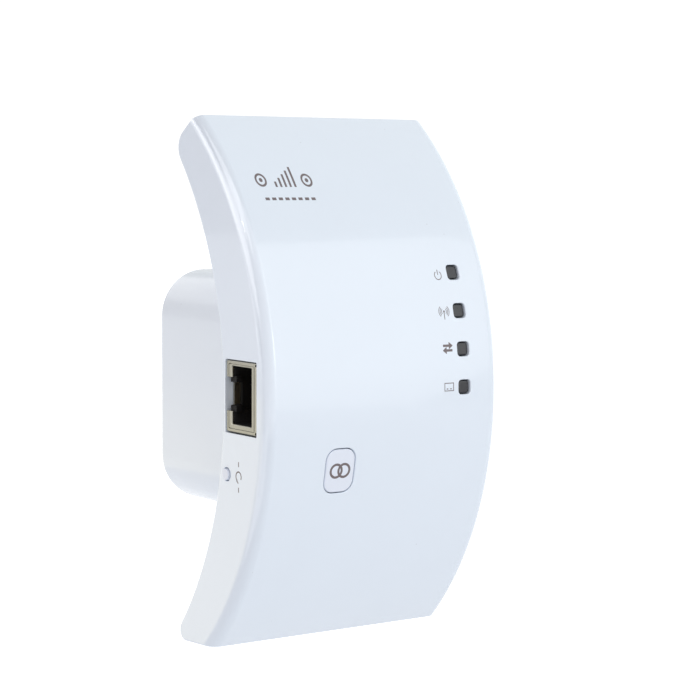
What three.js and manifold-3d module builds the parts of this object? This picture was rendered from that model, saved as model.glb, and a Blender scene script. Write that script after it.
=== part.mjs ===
/*
 * Wall-plug wireless range extender, in millimetres, +Z up.
 *
 * The origin is the centre of the flat plug face, between the two blades. +Y points out of that
 * face into the wall, so the curved front cover faces -Y. The ethernet jack and the reset button
 * are in the -X side, and the status lights are near the +X side of the front.
 */
import * as THREE from "three";
import { mergeVertices } from "three/addons/utils/BufferGeometryUtils.js";
import Module from "manifold-3d";

const wasm = await Module();
wasm.setup();

// ---------------------------------------------------------------- driving dimensions

const WALL = 2; // thickness of every moulded casing wall
const SLIP = 0.2; // gap round a piece that sits or slides in a hole
const SEAM = 0.3; // gap between the two shells
const SOLDER = 0.05; // a mounted component stands this far off its board
const SHEET_METAL = 0.5;
const PLAY = 0.3; // a button's free play in front of its switch plunger
const OVERRUN = 1; // a cutter runs this far past the face it starts from

// The strip: front and rear surfaces are arcs about axes along X, behind the object.
const CASE = { halfWidth: 29.45, edgeRound: 2.5, roundSteps: 4, deepY: 0, reachZ: 64, clearY: -60 };
const FRONT_ARC = { centreY: 23.5, radius: 75, steps: 26 };
const REAR_ARC = { centreY: 42.4, radius: 77.6, steps: 22, reachZ: 70 };
// An end face passes through (y, z), tilts by this angle, and its inner side is up or down.
const TOP_END = { y: -24.5, z: 58.85, tilt: -35, inward: -1, corner: 4 };
const BOTTOM_END = { y: -30.6, z: -52.15, tilt: -2.7, inward: 1, corner: 2.2 };
const CORNER_STEPS = 5;

// The block that carries the plug: a rounded, nearly square tube, closed by the plug face at y = 0.
const BLOCK = { width: 49.3, height: 50.4, corner: 10.3, edgeRound: 2.2, roundSteps: 3, face: 2.4, frontY: -42 };

const VENT = { count: 6, pitch: 4.6, width: 1.6, length: 11, centreZ: 34.5 };

const WPS = { x: -10.85, z: -14.1, width: 7.4, height: 9.4, round: 2.5 };
const WPS_FLANGE = { overhang: 0.9, front: -46.4, back: -45.6 };
const WPS_STEM_RADIUS = 1.6;
const WPS_SWITCH = { half: 3, body: 3.4, base: 1, plungerRadius: 1.75, plungerTop: -43.4 };

const RESET = { y: -36.4, z: -15, radius: 1.45, tipX: -29.85, backX: -22.95 };
const RESET_FLANGE = { x: [-27.05, -26.45], halfY: 1.3, halfZ: 2.4 };
const RESET_SWITCH = { x: [-21.65, -18.45], halfZ: 2.6, height: 1.8 };
const RESET_PLUNGER = { halfY: 0.45, halfZ: 0.9, backX: -20.45 };
const RESET_RELIEF = { backX: -21.45, behind: 1.65, halfZ: 3 };

const WINDOW = { x: 20.15, z: [25.5, 17.5, 9.5, 1.5], width: 3.15, height: 3.1, round: 0.8, recess: 0.45 };
const PIPE_BAR = { x: [18.65, 21.65], y: [-38.6, -37.2], z: [-0.6, 27.6] };
const STATUS_LED = { width: 1.6, height: 0.8, depth: 0.7 };

// Main board, seen from the front: its components face the front cover.
const MAIN_BOARD = { front: -35.6, back: -34, halfWidth: 22.3, z: [-29.5, 32], corner: 2 };
const BOARD_SCREWS = [[-18.8, 29.3], [18.8, 29.3], [-19, -26.8], [19, -26.8]];
const BOARD_POST_RADIUS = 2.2;
const MAIN_COMPONENTS = {
  wifi_chip: { x: 1, z: 4, width: 9, height: 9, depth: 0.9 },
  flash_chip: { x: 0, z: -8, width: 5, height: 4, depth: 1.7 },
  rf_shield: { x: 2, z: 18, width: 17, height: 12, depth: 2.4 },
  crystal: { x: 9.5, z: -4, width: 3.2, height: 2.5, depth: 0.8 },
  ethernet_transformer: { x: -8.4, z: 1.4, width: 7, height: 12.7, depth: 5 },
};

const JACK = { x: [-29.25, -13.45], y: [-47.5, -36.05], z: [-6.2, 8.45], relief: 0.5 };
const JACK_MOUTH = { y: [-45.5, -38.1], z: [-4.5, 7.3], depthX: -17.45 };
const JACK_LATCH = { wallY: -37.2, z: [-1.9, 5.05], depthX: -20.45 };
const CONTACT = { count: 8, pitch: 1.02, width: 0.45, rootX: -17.75, bendX: -27.25, tipX: -19.65 };
const CONTACT_STRIP = { thickness: 0.3, rise: 2.2, innerBend: 1.4 };

const POWER_BOARD = { front: -11.6, back: -10, halfWidth: 21, halfHeight: 20, corner: 8 };
const POWER_SCREWS = [[-18.4, 0], [18.4, 0]];
const POWER_POST_RADIUS = 2.4;
const CAPACITORS = {
  input_capacitor_1: { x: -13, z: 12, radius: 4, depth: 13 },
  input_capacitor_2: { x: -4, z: 14, radius: 4, depth: 13 },
  output_capacitor: { x: 13, z: 9, radius: 3.5, depth: 12 },
};
const POWER_COMPONENTS = {
  y_capacitor: { x: 5, z: 4, width: 7, height: 2.6, depth: 8 },
  bridge_rectifier: { x: -9, z: -14, width: 5, height: 4, depth: 2.6 },
  fuse_resistor: { x: -9, z: -6, width: 9, height: 3.4, depth: 3.4 },
};
const TRANSFORMER = { x: 6.5, z: -8, width: 17, height: 11, depth: 14, leg: 4, yoke: 3 };
const INSULATION = { x: -2, width: 38, height: 42, round: 7, y: [-32.7, -32.3] };

const LEAD_SIDES = 8;
const LEAD_STEPS = 12;
const DC_LEAD = { x: 19.2, bow: 0.6, rise: 6, radius: 0.7, positiveZ: -11, negativeZ: -14 };
const ANTENNA = { height: 8, thickness: 0.8 };
const UPPER_ANTENNA = { z: 41, width: 32 };
const LOWER_ANTENNA = { z: -37.5, width: 28 };
// A cable leaves each board at a right angle, by its rise, and bows out between them.
const ANTENNA_CABLE = { x: 5, rise: 2.5, bow: 1, radius: 0.55 };
const UPPER_CABLE = { antennaZ: 39, boardZ: 29 };
const LOWER_CABLE = { antennaZ: -36, boardZ: -26.5 };

const CARRIER = { width: 34, height: 24, flange: 1.2, ledge: 1.6, round: 4, innerY: -6.5 };
const BLADE = { spacing: 12.7, width: 6.35, thickness: 1.5, length: 17.5, rootY: -9.6, chamfer: 1.6 };
const BLADE_HOLE = { y: 11.7, radius: 1.7 };

const CASE_SCREW = { head: 2.3, headHeight: 1.6, shank: 1.1, length: 9, drive: 4 };
const CASE_SCREWS = [[-22.5, 46], [22.5, 46], [-22.5, -42], [22.5, -42]];
const CASE_BOSS = { radius: 4, web: 2, postRadius: 3.1, boreDepth: 8 };
const SMALL_SCREW = { head: 1.8, headHeight: 1.3, shank: 0.8, length: 4.4 };
const SCREW_CROWN = { flat: 0.8, side: 0.5 }; // shares of a head's radius and height
const SCREW_SIDES = 12;

// ---------------------------------------------------------------- solids

/** A closed geometry as a solid that can be joined and cut. */
function solid(geometry) {
  const bare = geometry.clone();
  bare.deleteAttribute("normal");
  bare.deleteAttribute("uv");
  const merged = mergeVertices(bare, 1e-4);
  return new wasm.Manifold(new wasm.Mesh({
    numProp: 3,
    vertProperties: new Float32Array(merged.attributes.position.array),
    triVerts: new Uint32Array(merged.index.array),
  }));
}

/** A solid's surface as a geometry with one normal per face. */
function surface(body) {
  const mesh = body.getMesh();
  const geometry = new THREE.BufferGeometry();
  geometry.setAttribute("position", new THREE.BufferAttribute(mesh.vertProperties, 3));
  geometry.setIndex(new THREE.BufferAttribute(mesh.triVerts, 1));
  const flat = geometry.toNonIndexed();
  flat.computeVertexNormals();
  return flat;
}

/** A box between two values along each axis. */
function box([x0, x1], [y0, y1], [z0, z1]) {
  const geometry = new THREE.BoxGeometry(x1 - x0, y1 - y0, z1 - z0);
  return solid(geometry.translate((x0 + x1) / 2, (y0 + y1) / 2, (z0 + z1) / 2));
}

/** A cylinder along Y, about the line through (x, z). */
function rodY(x, z, radius, y0, y1, sides = 16) {
  const geometry = new THREE.CylinderGeometry(radius, radius, y1 - y0, sides);
  return solid(geometry.translate(x, (y0 + y1) / 2, z));
}

/** A cylinder along X, about the line through (y, z). */
function rodX(y, z, radius, x0, x1, sides = 20) {
  const geometry = new THREE.CylinderGeometry(radius, radius, x1 - x0, sides);
  return solid(geometry.rotateZ(Math.PI / 2).translate((x0 + x1) / 2, y, z));
}

/** An outline extruded from 0 along its own Z, with its rims rounded if round is not 0. */
function extruded(outline, length, round, roundSteps) {
  return new THREE.ExtrudeGeometry(new THREE.Shape(outline), {
    depth: length - 2 * round,
    bevelEnabled: round > 0,
    bevelThickness: round,
    bevelSize: round,
    bevelOffset: -round,
    bevelSegments: roundSteps,
  }).translate(0, 0, round);
}

/** An outline of (y, z) points, extruded along X. */
function alongX(outline, x0, x1, round = 0, roundSteps = 1) {
  const geometry = extruded(outline, x1 - x0, round, roundSteps).translate(0, 0, x0);
  const axes = new THREE.Matrix4().makeBasis(
    new THREE.Vector3(0, 1, 0),
    new THREE.Vector3(0, 0, 1),
    new THREE.Vector3(1, 0, 0),
  );
  return solid(geometry.applyMatrix4(axes));
}

/** An outline of (x, z) points, extruded along Y. */
function alongY(outline, y0, y1, round = 0, roundSteps = 1) {
  const geometry = extruded(outline, y1 - y0, round, roundSteps);
  const axes = new THREE.Matrix4().makeBasis(
    new THREE.Vector3(1, 0, 0),
    new THREE.Vector3(0, 0, 1),
    new THREE.Vector3(0, -1, 0),
  );
  return solid(geometry.applyMatrix4(axes).translate(0, y1, 0));
}

/** An outline of (x, y) points, extruded along Z. */
function alongZ(outline, z0, z1) {
  return solid(extruded(outline, z1 - z0, 0, 1).translate(0, 0, z0));
}

const joined = (bodies) => bodies.reduce((whole, body) => whole.add(body));
const cut = (body, tools) => tools.reduce((rest, tool) => rest.subtract(tool), body);

// ---------------------------------------------------------------- outlines

/** Points on a circle from one angle to another, both ends included. */
function circlePoints(centre, radius, fromAngle, toAngle, steps) {
  return Array.from({ length: steps + 1 }, (_, i) => {
    const angle = fromAngle + ((toAngle - fromAngle) * i) / steps;
    return new THREE.Vector2(centre.x + radius * Math.cos(angle), centre.y + radius * Math.sin(angle));
  });
}

/** A rectangle with round corners about (x, z). */
function roundedRect(x, z, width, height, radius, steps = 4) {
  const corners = [[1, 1, 0], [-1, 1, 1], [-1, -1, 2], [1, -1, 3]];
  return corners.flatMap(([sideX, sideZ, quarter]) => {
    const centre = new THREE.Vector2(
      x + sideX * (width / 2 - radius),
      z + sideZ * (height / 2 - radius),
    );
    const start = (quarter * Math.PI) / 2;
    return circlePoints(centre, radius, start, start + Math.PI / 2, steps);
  });
}

/** How far back a casing arc lies at height z, moved towards the front by inset. */
const frontY = (z, inset = 0) => FRONT_ARC.centreY - Math.sqrt((FRONT_ARC.radius - inset) ** 2 - z ** 2);
const rearY = (z, inset = 0) => REAR_ARC.centreY - Math.sqrt((REAR_ARC.radius + inset) ** 2 - z ** 2);

/** Points of a casing arc, on this radius, from one height to another. */
function arcPoints(arc, radius, z0, z1) {
  const centre = new THREE.Vector2(arc.centreY, 0);
  const angleAt = (z) => Math.PI - Math.asin(z / radius);
  return circlePoints(centre, radius, angleAt(z0), angleAt(z1), arc.steps);
}

/** An end face's line in the (y, z) plane, moved into the casing by inset. */
function endLine(end, inset) {
  const tilt = THREE.MathUtils.degToRad(end.tilt);
  const along = new THREE.Vector2(Math.cos(tilt), Math.sin(tilt));
  const inward = new THREE.Vector2(-along.y, along.x).multiplyScalar(end.inward);
  const point = new THREE.Vector2(end.y, end.z).addScaledVector(inward, inset);
  return { along, inward, point };
}

/** Where an end face's line first meets the circle of this radius about a casing arc's axis. */
function endMeets(end, inset, arc, radius) {
  const { along, point } = endLine(end, inset);
  const offset = point.clone().sub(new THREE.Vector2(arc.centreY, 0));
  const middle = offset.dot(along);
  const reach = Math.sqrt(middle ** 2 - offset.lengthSq() + radius ** 2);
  return point.clone().addScaledVector(along, -middle - reach);
}

/** The point of an end face's line at depth y. */
function endAt(end, inset, y) {
  const { along, point } = endLine(end, inset);
  return point.clone().addScaledVector(along, (y - point.x) / along.x);
}

/** The round corner from an end face to the rear arc. */
function rearCorner(end) {
  const centre = endMeets(end, end.corner, REAR_ARC, REAR_ARC.radius + end.corner);
  const toFace = endLine(end, 0).inward.clone().negate();
  const toRear = new THREE.Vector2(REAR_ARC.centreY, 0).sub(centre).normalize();
  const start = toFace.angle();
  const turn = Math.sign(toFace.cross(toRear)) * Math.acos(toFace.dot(toRear));
  return circlePoints(centre, end.corner, start, start + turn, CORNER_STEPS);
}

/** The strip's outline from the side. */
function stripOutline() {
  const bottom = endMeets(BOTTOM_END, 0, FRONT_ARC, FRONT_ARC.radius);
  const top = endMeets(TOP_END, 0, FRONT_ARC, FRONT_ARC.radius);
  const topCorner = rearCorner(TOP_END);
  const bottomCorner = rearCorner(BOTTOM_END).reverse();
  const rear = arcPoints(REAR_ARC, REAR_ARC.radius, topCorner.at(-1).y, bottomCorner[0].y);
  return [
    ...arcPoints(FRONT_ARC, FRONT_ARC.radius, bottom.y, top.y),
    ...topCorner,
    ...rear.slice(1, -1),
    ...bottomCorner,
  ];
}

/** Everything between the two end faces, each moved into the casing by inset. */
function betweenEnds(inset) {
  const outline = [
    endAt(TOP_END, inset, CASE.deepY),
    endAt(TOP_END, inset, CASE.clearY),
    endAt(BOTTOM_END, inset, CASE.clearY),
    endAt(BOTTOM_END, inset, CASE.deepY),
  ];
  return alongX(outline, -CASE.halfWidth - OVERRUN, CASE.halfWidth + OVERRUN);
}

/** A solid inside the casing's front, sides and ends, moved in by inset and open to the rear. */
function deepSolid(inset) {
  const half = CASE.halfWidth - inset;
  const round = CASE.edgeRound - inset;
  const outline = [
    ...arcPoints(FRONT_ARC, FRONT_ARC.radius - inset, -CASE.reachZ, CASE.reachZ),
    new THREE.Vector2(CASE.deepY, CASE.reachZ),
    new THREE.Vector2(CASE.deepY, -CASE.reachZ),
  ];
  return alongX(outline, -half, half, round, CASE.roundSteps).intersect(betweenEnds(inset));
}

/** Everything behind the rear surface moved forward by inset. */
function behindRear(inset) {
  const reach = CASE.halfWidth + OVERRUN;
  const outline = [
    ...arcPoints(REAR_ARC, REAR_ARC.radius + inset, -REAR_ARC.reachZ, REAR_ARC.reachZ),
    new THREE.Vector2(REAR_ARC.centreY, REAR_ARC.reachZ),
    new THREE.Vector2(REAR_ARC.centreY, -REAR_ARC.reachZ),
  ];
  return alongX(outline, -reach, reach);
}

// ---------------------------------------------------------------- casing

const strip = () => alongX(stripOutline(), -CASE.halfWidth, CASE.halfWidth);

/** Depth of the seat that a case screw's head rests on. */
const screwSeat = (z) => rearY(z) - CASE_SCREW.drive;

/** A range along an axis, grown at both ends. */
const grown = ([low, high], by) => [low - by, high + by];

/** Round holes for a board's screws, as deep as the screws reach behind the board. */
function boardBores(board, screws) {
  const end = board.front - SOLDER + SMALL_SCREW.length + SEAM;
  return screws.map(([x, z]) => {
    return rodY(x, z, SMALL_SCREW.shank + SEAM, board.back - OVERRUN, end, SCREW_SIDES);
  });
}

/** A hole through the front wall with the outline of a rounded rectangle. */
function frontHole(x, z, { width, height, round }) {
  return alongY(roundedRect(x, z, width, height, round), CASE.clearY, frontY(z, WALL) + WALL);
}

function frontShell() {
  const outer = deepSolid(0).intersect(strip());
  const posts = CASE_SCREWS.map(([x, z]) => {
    const end = screwSeat(z) - CASE_BOSS.web - SLIP;
    return rodY(x, z, CASE_BOSS.postRadius, frontY(z), end).intersect(outer);
  });
  const bores = CASE_SCREWS.map(([x, z]) => {
    const end = screwSeat(z) - CASE_BOSS.web;
    return rodY(x, z, CASE_SCREW.shank + SEAM, end - CASE_BOSS.boreDepth, end + OVERRUN, SCREW_SIDES);
  });
  const windows = WINDOW.z.map((z) => frontHole(WINDOW.x, z, WINDOW));
  const side = [-CASE.halfWidth - OVERRUN, -CASE.halfWidth + WALL + SHEET_METAL];
  const jackHole = box(side, grown(JACK.y, SLIP), grown(JACK.z, SLIP));
  const resetHole = rodX(RESET.y, RESET.z, RESET.radius, ...side);
  const tray = outer.subtract(deepSolid(WALL));
  const holes = [...windows, jackHole, resetHole, frontHole(WPS.x, WPS.z, WPS)];
  return cut(joined([tray, ...posts]), [...bores, ...holes]);
}

/** The wall behind the strip, inside the front shell's rim. */
function rearPlate() {
  return behindRear(WALL).subtract(behindRear(0)).intersect(strip()).intersect(deepSolid(WALL + SEAM));
}

function ventSlots() {
  const first = (-(VENT.count - 1) * VENT.pitch) / 2;
  const places = Array.from({ length: VENT.count }, (_, i) => first + i * VENT.pitch);
  const round = VENT.width / 2 - SOLDER;
  return [VENT.centreZ, -VENT.centreZ].flatMap((z) => places.map((x) => {
    const outline = roundedRect(x, z, VENT.width, VENT.length, round);
    return alongY(outline, rearY(z) - 3 * WALL, rearY(z) + 3 * WALL);
  }));
}

/** The rounded tube behind the strip, open at the front. */
function plugBlock() {
  const { width, height, corner } = BLOCK;
  const outline = roundedRect(0, 0, width, height, corner, CORNER_STEPS);
  return alongY(outline, BLOCK.frontY, 0, BLOCK.edgeRound, BLOCK.roundSteps).intersect(behindRear(WALL));
}

function rearShell() {
  const hollowOutline = roundedRect(
    0,
    0,
    BLOCK.width - 2 * WALL,
    BLOCK.height - 2 * WALL,
    BLOCK.corner - WALL,
    CORNER_STEPS,
  );
  const hollow = alongY(hollowOutline, BLOCK.frontY, -BLOCK.face);
  const boardRelief = box(
    grown([-MAIN_BOARD.halfWidth, MAIN_BOARD.halfWidth], SEAM),
    [BLOCK.frontY, MAIN_BOARD.back + SLIP],
    grown(MAIN_BOARD.z, SEAM),
  );
  const bosses = CASE_SCREWS.map(([x, z]) => {
    return rodY(x, z, CASE_BOSS.radius, screwSeat(z) - CASE_BOSS.web, 0).intersect(strip());
  });
  const boardPosts = BOARD_SCREWS.map(([x, z]) => {
    return rodY(x, z, BOARD_POST_RADIUS, MAIN_BOARD.back + SOLDER, 0).intersect(strip());
  });
  const powerPosts = POWER_SCREWS.map(([x, z]) => {
    return rodY(x, z, POWER_POST_RADIUS, POWER_BOARD.back + SOLDER, -BLOCK.face / 2);
  });
  const counterbores = CASE_SCREWS.map(([x, z]) => rodY(x, z, CASE_SCREW.head + SEAM, screwSeat(z), 0));
  const screwHoles = CASE_SCREWS.map(([x, z]) => {
    const seat = screwSeat(z);
    return rodY(x, z, CASE_SCREW.shank + SEAM, seat - 2 * CASE_BOSS.web, seat + OVERRUN, SCREW_SIDES);
  });
  const jackRelief = box(
    [-CASE.halfWidth, JACK.x[1] + 2 * JACK.relief],
    [CASE.clearY, JACK.y[1] + SLIP],
    grown(JACK.z, JACK.relief),
  );
  const resetRelief = box(
    [-CASE.halfWidth, RESET_RELIEF.backX],
    [CASE.clearY, RESET.y + RESET_RELIEF.behind],
    grown([RESET.z, RESET.z], RESET_RELIEF.halfZ),
  );
  const hollowed = cut(joined([rearPlate(), plugBlock()]), [hollow, boardRelief]);
  return cut(joined([hollowed, ...bosses, ...boardPosts, ...powerPosts]), [
    ...counterbores,
    ...screwHoles,
    ...boardBores(MAIN_BOARD, BOARD_SCREWS),
    ...boardBores(POWER_BOARD, POWER_SCREWS),
    ...ventSlots(),
    ...carrierSeat(),
    jackRelief,
    resetRelief,
  ]);
}

/** The stepped hole in the plug face that the plug carrier sits in. */
function carrierSeat() {
  const { width, height, flange, ledge, round } = CARRIER;
  const inset = 2 * ledge;
  return [
    alongY(roundedRect(0, 0, width, height, round), -flange, OVERRUN),
    alongY(roundedRect(0, 0, width - inset, height - inset, round - ledge), -2 * BLOCK.face, OVERRUN),
  ];
}

// ---------------------------------------------------------------- plug

const bladeX = (side) => (side * BLADE.spacing) / 2;

function plugCarrier() {
  const { width, height, flange, ledge, round, innerY } = CARRIER;
  const slip = 2 * SLIP;
  const inset = 2 * ledge + slip;
  const plate = alongY(roundedRect(0, 0, width - slip, height - slip, round - SLIP), SLIP - flange, 0);
  const rootOutline = roundedRect(0, 0, width - inset, height - inset, round - ledge - SLIP);
  const root = alongY(rootOutline, innerY, -flange / 2);
  const slots = [-1, 1].map((side) => {
    const halfX = BLADE.thickness / 2 + SLIP;
    const halfZ = BLADE.width / 2 + SLIP;
    const middle = bladeX(side);
    return box([middle - halfX, middle + halfX], [innerY - OVERRUN, OVERRUN], [-halfZ, halfZ]);
  });
  return cut(plate.add(root), slots);
}

/** A flat blade with a chamfered tip and a round hole. */
function blade(side) {
  const { width, thickness, length, rootY, chamfer } = BLADE;
  const half = width / 2;
  const outline = [
    [rootY, -half],
    [length - chamfer, -half],
    [length, -half + chamfer],
    [length, half - chamfer],
    [length - chamfer, half],
    [rootY, half],
  ].map(([y, z]) => new THREE.Vector2(y, z));
  const x = bladeX(side);
  const plate = alongX(outline, x - thickness / 2, x + thickness / 2);
  return plate.subtract(rodX(BLADE_HOLE.y, 0, BLADE_HOLE.radius, x - thickness, x + thickness));
}

// ---------------------------------------------------------------- buttons and lights

/** The pairing button: its stem stops short of the switch plunger by the free play. */
function wpsButton() {
  const width = WPS.width - 2 * SLIP;
  const height = WPS.height - 2 * SLIP;
  const capOutline = roundedRect(WPS.x, WPS.z, width, height, WPS.round - SLIP);
  const cap = alongY(capOutline, CASE.clearY, WPS_FLANGE.back).intersect(deepSolid(0));
  const wider = 2 * WPS_FLANGE.overhang;
  const flangeOutline = roundedRect(WPS.x, WPS.z, width + wider, height + wider, WPS.round);
  const flange = alongY(flangeOutline, WPS_FLANGE.front, WPS_FLANGE.back);
  const stem = rodY(WPS.x, WPS.z, WPS_STEM_RADIUS, WPS_FLANGE.front, WPS_SWITCH.plungerTop - PLAY);
  return joined([cap, flange, stem]);
}

function wpsSwitchBody() {
  const { half, body, base, plungerRadius } = WPS_SWITCH;
  const back = MAIN_BOARD.front - SOLDER;
  const can = box(grown([WPS.x, WPS.x], half), [back - body, back], grown([WPS.z, WPS.z], half));
  return can.subtract(rodY(WPS.x, WPS.z, plungerRadius + SLIP, back - body - OVERRUN, back - base));
}

function wpsSwitchPlunger() {
  const { base, plungerRadius, plungerTop } = WPS_SWITCH;
  const back = MAIN_BOARD.front - SOLDER - base - 2 * PLAY;
  return rodY(WPS.x, WPS.z, plungerRadius, plungerTop, back);
}

function resetButton() {
  const stem = rodX(RESET.y, RESET.z, RESET.radius - SLIP, RESET.tipX, RESET.backX);
  const { x, halfY, halfZ } = RESET_FLANGE;
  return stem.add(box(x, grown([RESET.y, RESET.y], halfY), grown([RESET.z, RESET.z], halfZ)));
}

/** Half way up the reset switch, where its plunger slides. */
const resetSwitchMiddle = MAIN_BOARD.front - SOLDER - RESET_SWITCH.height / 2;

function resetSwitchBody() {
  const { x, halfZ, height } = RESET_SWITCH;
  const depth = grown([resetSwitchMiddle, resetSwitchMiddle], height / 2);
  const can = box(x, depth, grown([RESET.z, RESET.z], halfZ));
  const slot = box(
    [x[0] - OVERRUN, RESET_PLUNGER.backX + 2 * PLAY],
    grown([resetSwitchMiddle, resetSwitchMiddle], RESET_PLUNGER.halfY + SLIP),
    grown([RESET.z, RESET.z], RESET_PLUNGER.halfZ + SLIP),
  );
  return can.subtract(slot);
}

function resetSwitchPlunger() {
  const { halfY, halfZ, backX } = RESET_PLUNGER;
  const depth = grown([resetSwitchMiddle, resetSwitchMiddle], halfY);
  return box([RESET.backX + PLAY, backX], depth, grown([RESET.z, RESET.z], halfZ));
}

/** One tinted moulding: a bar with a post up to each window, its faces sunk in the windows. */
function lightPipe() {
  const { x, width, height, round, recess } = WINDOW;
  const posts = WINDOW.z.map((z) => {
    const outline = roundedRect(x, z, width - 2 * SLIP, height - 2 * SLIP, round - SLIP);
    return alongY(outline, CASE.clearY, PIPE_BAR.y[1]);
  });
  return joined(posts).intersect(deepSolid(recess)).add(box(PIPE_BAR.x, PIPE_BAR.y, PIPE_BAR.z));
}

// ---------------------------------------------------------------- ethernet jack

function jackShield() {
  const { x, y, z } = JACK;
  const inside = box(
    [x[0] + SHEET_METAL, x[1] + OVERRUN],
    grown(y, -SHEET_METAL),
    grown(z, -SHEET_METAL),
  );
  const front = [x[0] - OVERRUN, x[0] + 2 * SHEET_METAL];
  const mouth = box(front, JACK_MOUTH.y, JACK_MOUTH.z);
  const latch = box(front, [JACK_MOUTH.y[1] - OVERRUN, y[1] + OVERRUN], JACK_LATCH.z);
  return cut(box(x, y, z), [inside, mouth, latch]);
}

function jackHousing() {
  const { x, y, z } = JACK;
  const inset = SHEET_METAL + SLIP / 2;
  const body = box([x[0] + inset, x[1] - SLIP], grown(y, -inset), grown(z, -inset));
  const mouth = box([x[0] - OVERRUN, JACK_MOUTH.depthX], JACK_MOUTH.y, JACK_MOUTH.z);
  const latch = box(
    [x[0] - OVERRUN, JACK_LATCH.depthX],
    [JACK_MOUTH.y[1] - OVERRUN, JACK_LATCH.wallY],
    JACK_LATCH.z,
  );
  return cut(body, [mouth, latch]);
}

/** A contact spring: it runs along the front wall of the mouth and folds back into it. */
function jackContact(index) {
  const { count, pitch, width, rootX, bendX, tipX } = CONTACT;
  const { thickness, rise, innerBend } = CONTACT_STRIP;
  const middle = (JACK_MOUTH.z[0] + JACK_MOUTH.z[1]) / 2;
  const z = middle + (index - (count - 1) / 2) * pitch;
  const wall = JACK_MOUTH.y[0] + SLIP;
  const outline = [
    [rootX, wall],
    [bendX, wall],
    [tipX, wall + rise],
    [tipX + SLIP, wall + rise - thickness],
    [bendX + innerBend, wall + thickness],
    [rootX, wall + thickness],
  ].map(([x, y]) => new THREE.Vector2(x, y));
  return alongZ(outline, z - width / 2, z + width / 2);
}

// ---------------------------------------------------------------- boards and components

/** A component body standing on the front of a board. */
function onBoard(board, { x, z, width, height, depth }) {
  const back = board.front - SOLDER;
  return box(grown([x, x], width / 2), [back - depth, back], grown([z, z], height / 2));
}

/** A round component standing on the front of a board. */
function canOnBoard(board, { x, z, radius, depth }) {
  const back = board.front - SOLDER;
  return rodY(x, z, radius, back - depth, back);
}

function screwHolesIn(board, screws) {
  return screws.map(([x, z]) => {
    const radius = SMALL_SCREW.shank + SEAM;
    return rodY(x, z, radius, board.front - OVERRUN, board.back + OVERRUN, SCREW_SIDES);
  });
}

function mainBoard() {
  const { front, back, halfWidth, z, corner } = MAIN_BOARD;
  const outline = roundedRect(0, (z[0] + z[1]) / 2, 2 * halfWidth, z[1] - z[0], corner);
  return cut(alongY(outline, front, back), screwHolesIn(MAIN_BOARD, BOARD_SCREWS));
}

function powerBoard() {
  const { front, back, halfWidth, halfHeight, corner } = POWER_BOARD;
  const outline = roundedRect(0, 0, 2 * halfWidth, 2 * halfHeight, corner);
  return cut(alongY(outline, front, back), screwHolesIn(POWER_BOARD, POWER_SCREWS));
}

/** A ferrite E-E core: a frame with a centre leg that the winding sits on. */
function transformerCore() {
  const { x, z, width, height, depth, leg, yoke } = TRANSFORMER;
  const frame = onBoard(POWER_BOARD, { x, z, width, height: height / 2, depth });
  const back = POWER_BOARD.front - SOLDER;
  const outer = width / 2 - yoke / 2;
  const windowY = [back - depth + yoke, back - yoke];
  const through = grown([z, z], height);
  return cut(frame, [
    box([x - outer, x - leg / 2], windowY, through),
    box([x + leg / 2, x + outer], windowY, through),
  ]);
}

/** The wound bobbin: a sleeve round the core's centre leg. */
function transformerWinding() {
  const { x, z, width, height, depth, leg, yoke } = TRANSFORMER;
  const back = POWER_BOARD.front - SOLDER;
  const y = [back - depth + yoke + SLIP, back - yoke - SLIP];
  const sleeve = box(grown([x, x], width / 2 - yoke / 2 - SLIP), y, grown([z, z], height / 2));
  const hole = box(grown([x, x], leg / 2 + SLIP), grown(y, OVERRUN), grown([z, z], height / 4 + SLIP));
  return sleeve.subtract(hole);
}

function insulationSheet() {
  const { x, width, height, round, y } = INSULATION;
  return alongY(roundedRect(x, 0, width, height, round), y[0], y[1]);
}

/** A round lead along a smooth curve through these points. */
function lead(points, radius) {
  const path = new THREE.CatmullRomCurve3(points.map((point) => new THREE.Vector3(...point)));
  const lastAngle = 2 * Math.PI * (1 - 1 / LEAD_SIDES);
  const section = new THREE.Shape(circlePoints(new THREE.Vector2(), radius, 0, lastAngle, LEAD_SIDES - 1));
  const options = { steps: LEAD_STEPS, extrudePath: path, bevelEnabled: false };
  return solid(new THREE.ExtrudeGeometry(section, options));
}

/** A power lead from the front of the power board to the back of the main board. */
function dcLead(z) {
  const { x, bow, rise, radius } = DC_LEAD;
  const start = POWER_BOARD.front - SEAM;
  const end = MAIN_BOARD.back + SEAM;
  return lead([
    [x, start, z],
    [x + bow, start - rise, z + bow],
    [x + bow, end + rise, z - bow],
    [x, end, z],
  ], radius);
}

/** The front face of an antenna board that stands just off the rear shell. */
function antennaFront({ z }) {
  const nearEdge = Math.abs(z) - ANTENNA.height / 2;
  return rearY(nearEdge, WALL) - SLIP - ANTENNA.thickness;
}

function antenna(place) {
  const front = antennaFront(place);
  const y = [front, front + ANTENNA.thickness];
  return box(grown([0, 0], place.width / 2), y, grown([place.z, place.z], ANTENNA.height / 2));
}

/** A thin cable from the front of an antenna board to the front of the main board. */
function antennaCable(place, { antennaZ, boardZ }) {
  const { x, rise, bow, radius } = ANTENNA_CABLE;
  const start = antennaFront(place) - SEAM;
  const board = MAIN_BOARD.front - SEAM;
  return lead([
    [x, start, antennaZ],
    [x, start - rise, antennaZ],
    [x + bow, board - rise - bow, (antennaZ + boardZ) / 2],
    [x, board - rise, boardZ],
    [x, board, boardZ],
  ], radius);
}

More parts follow.
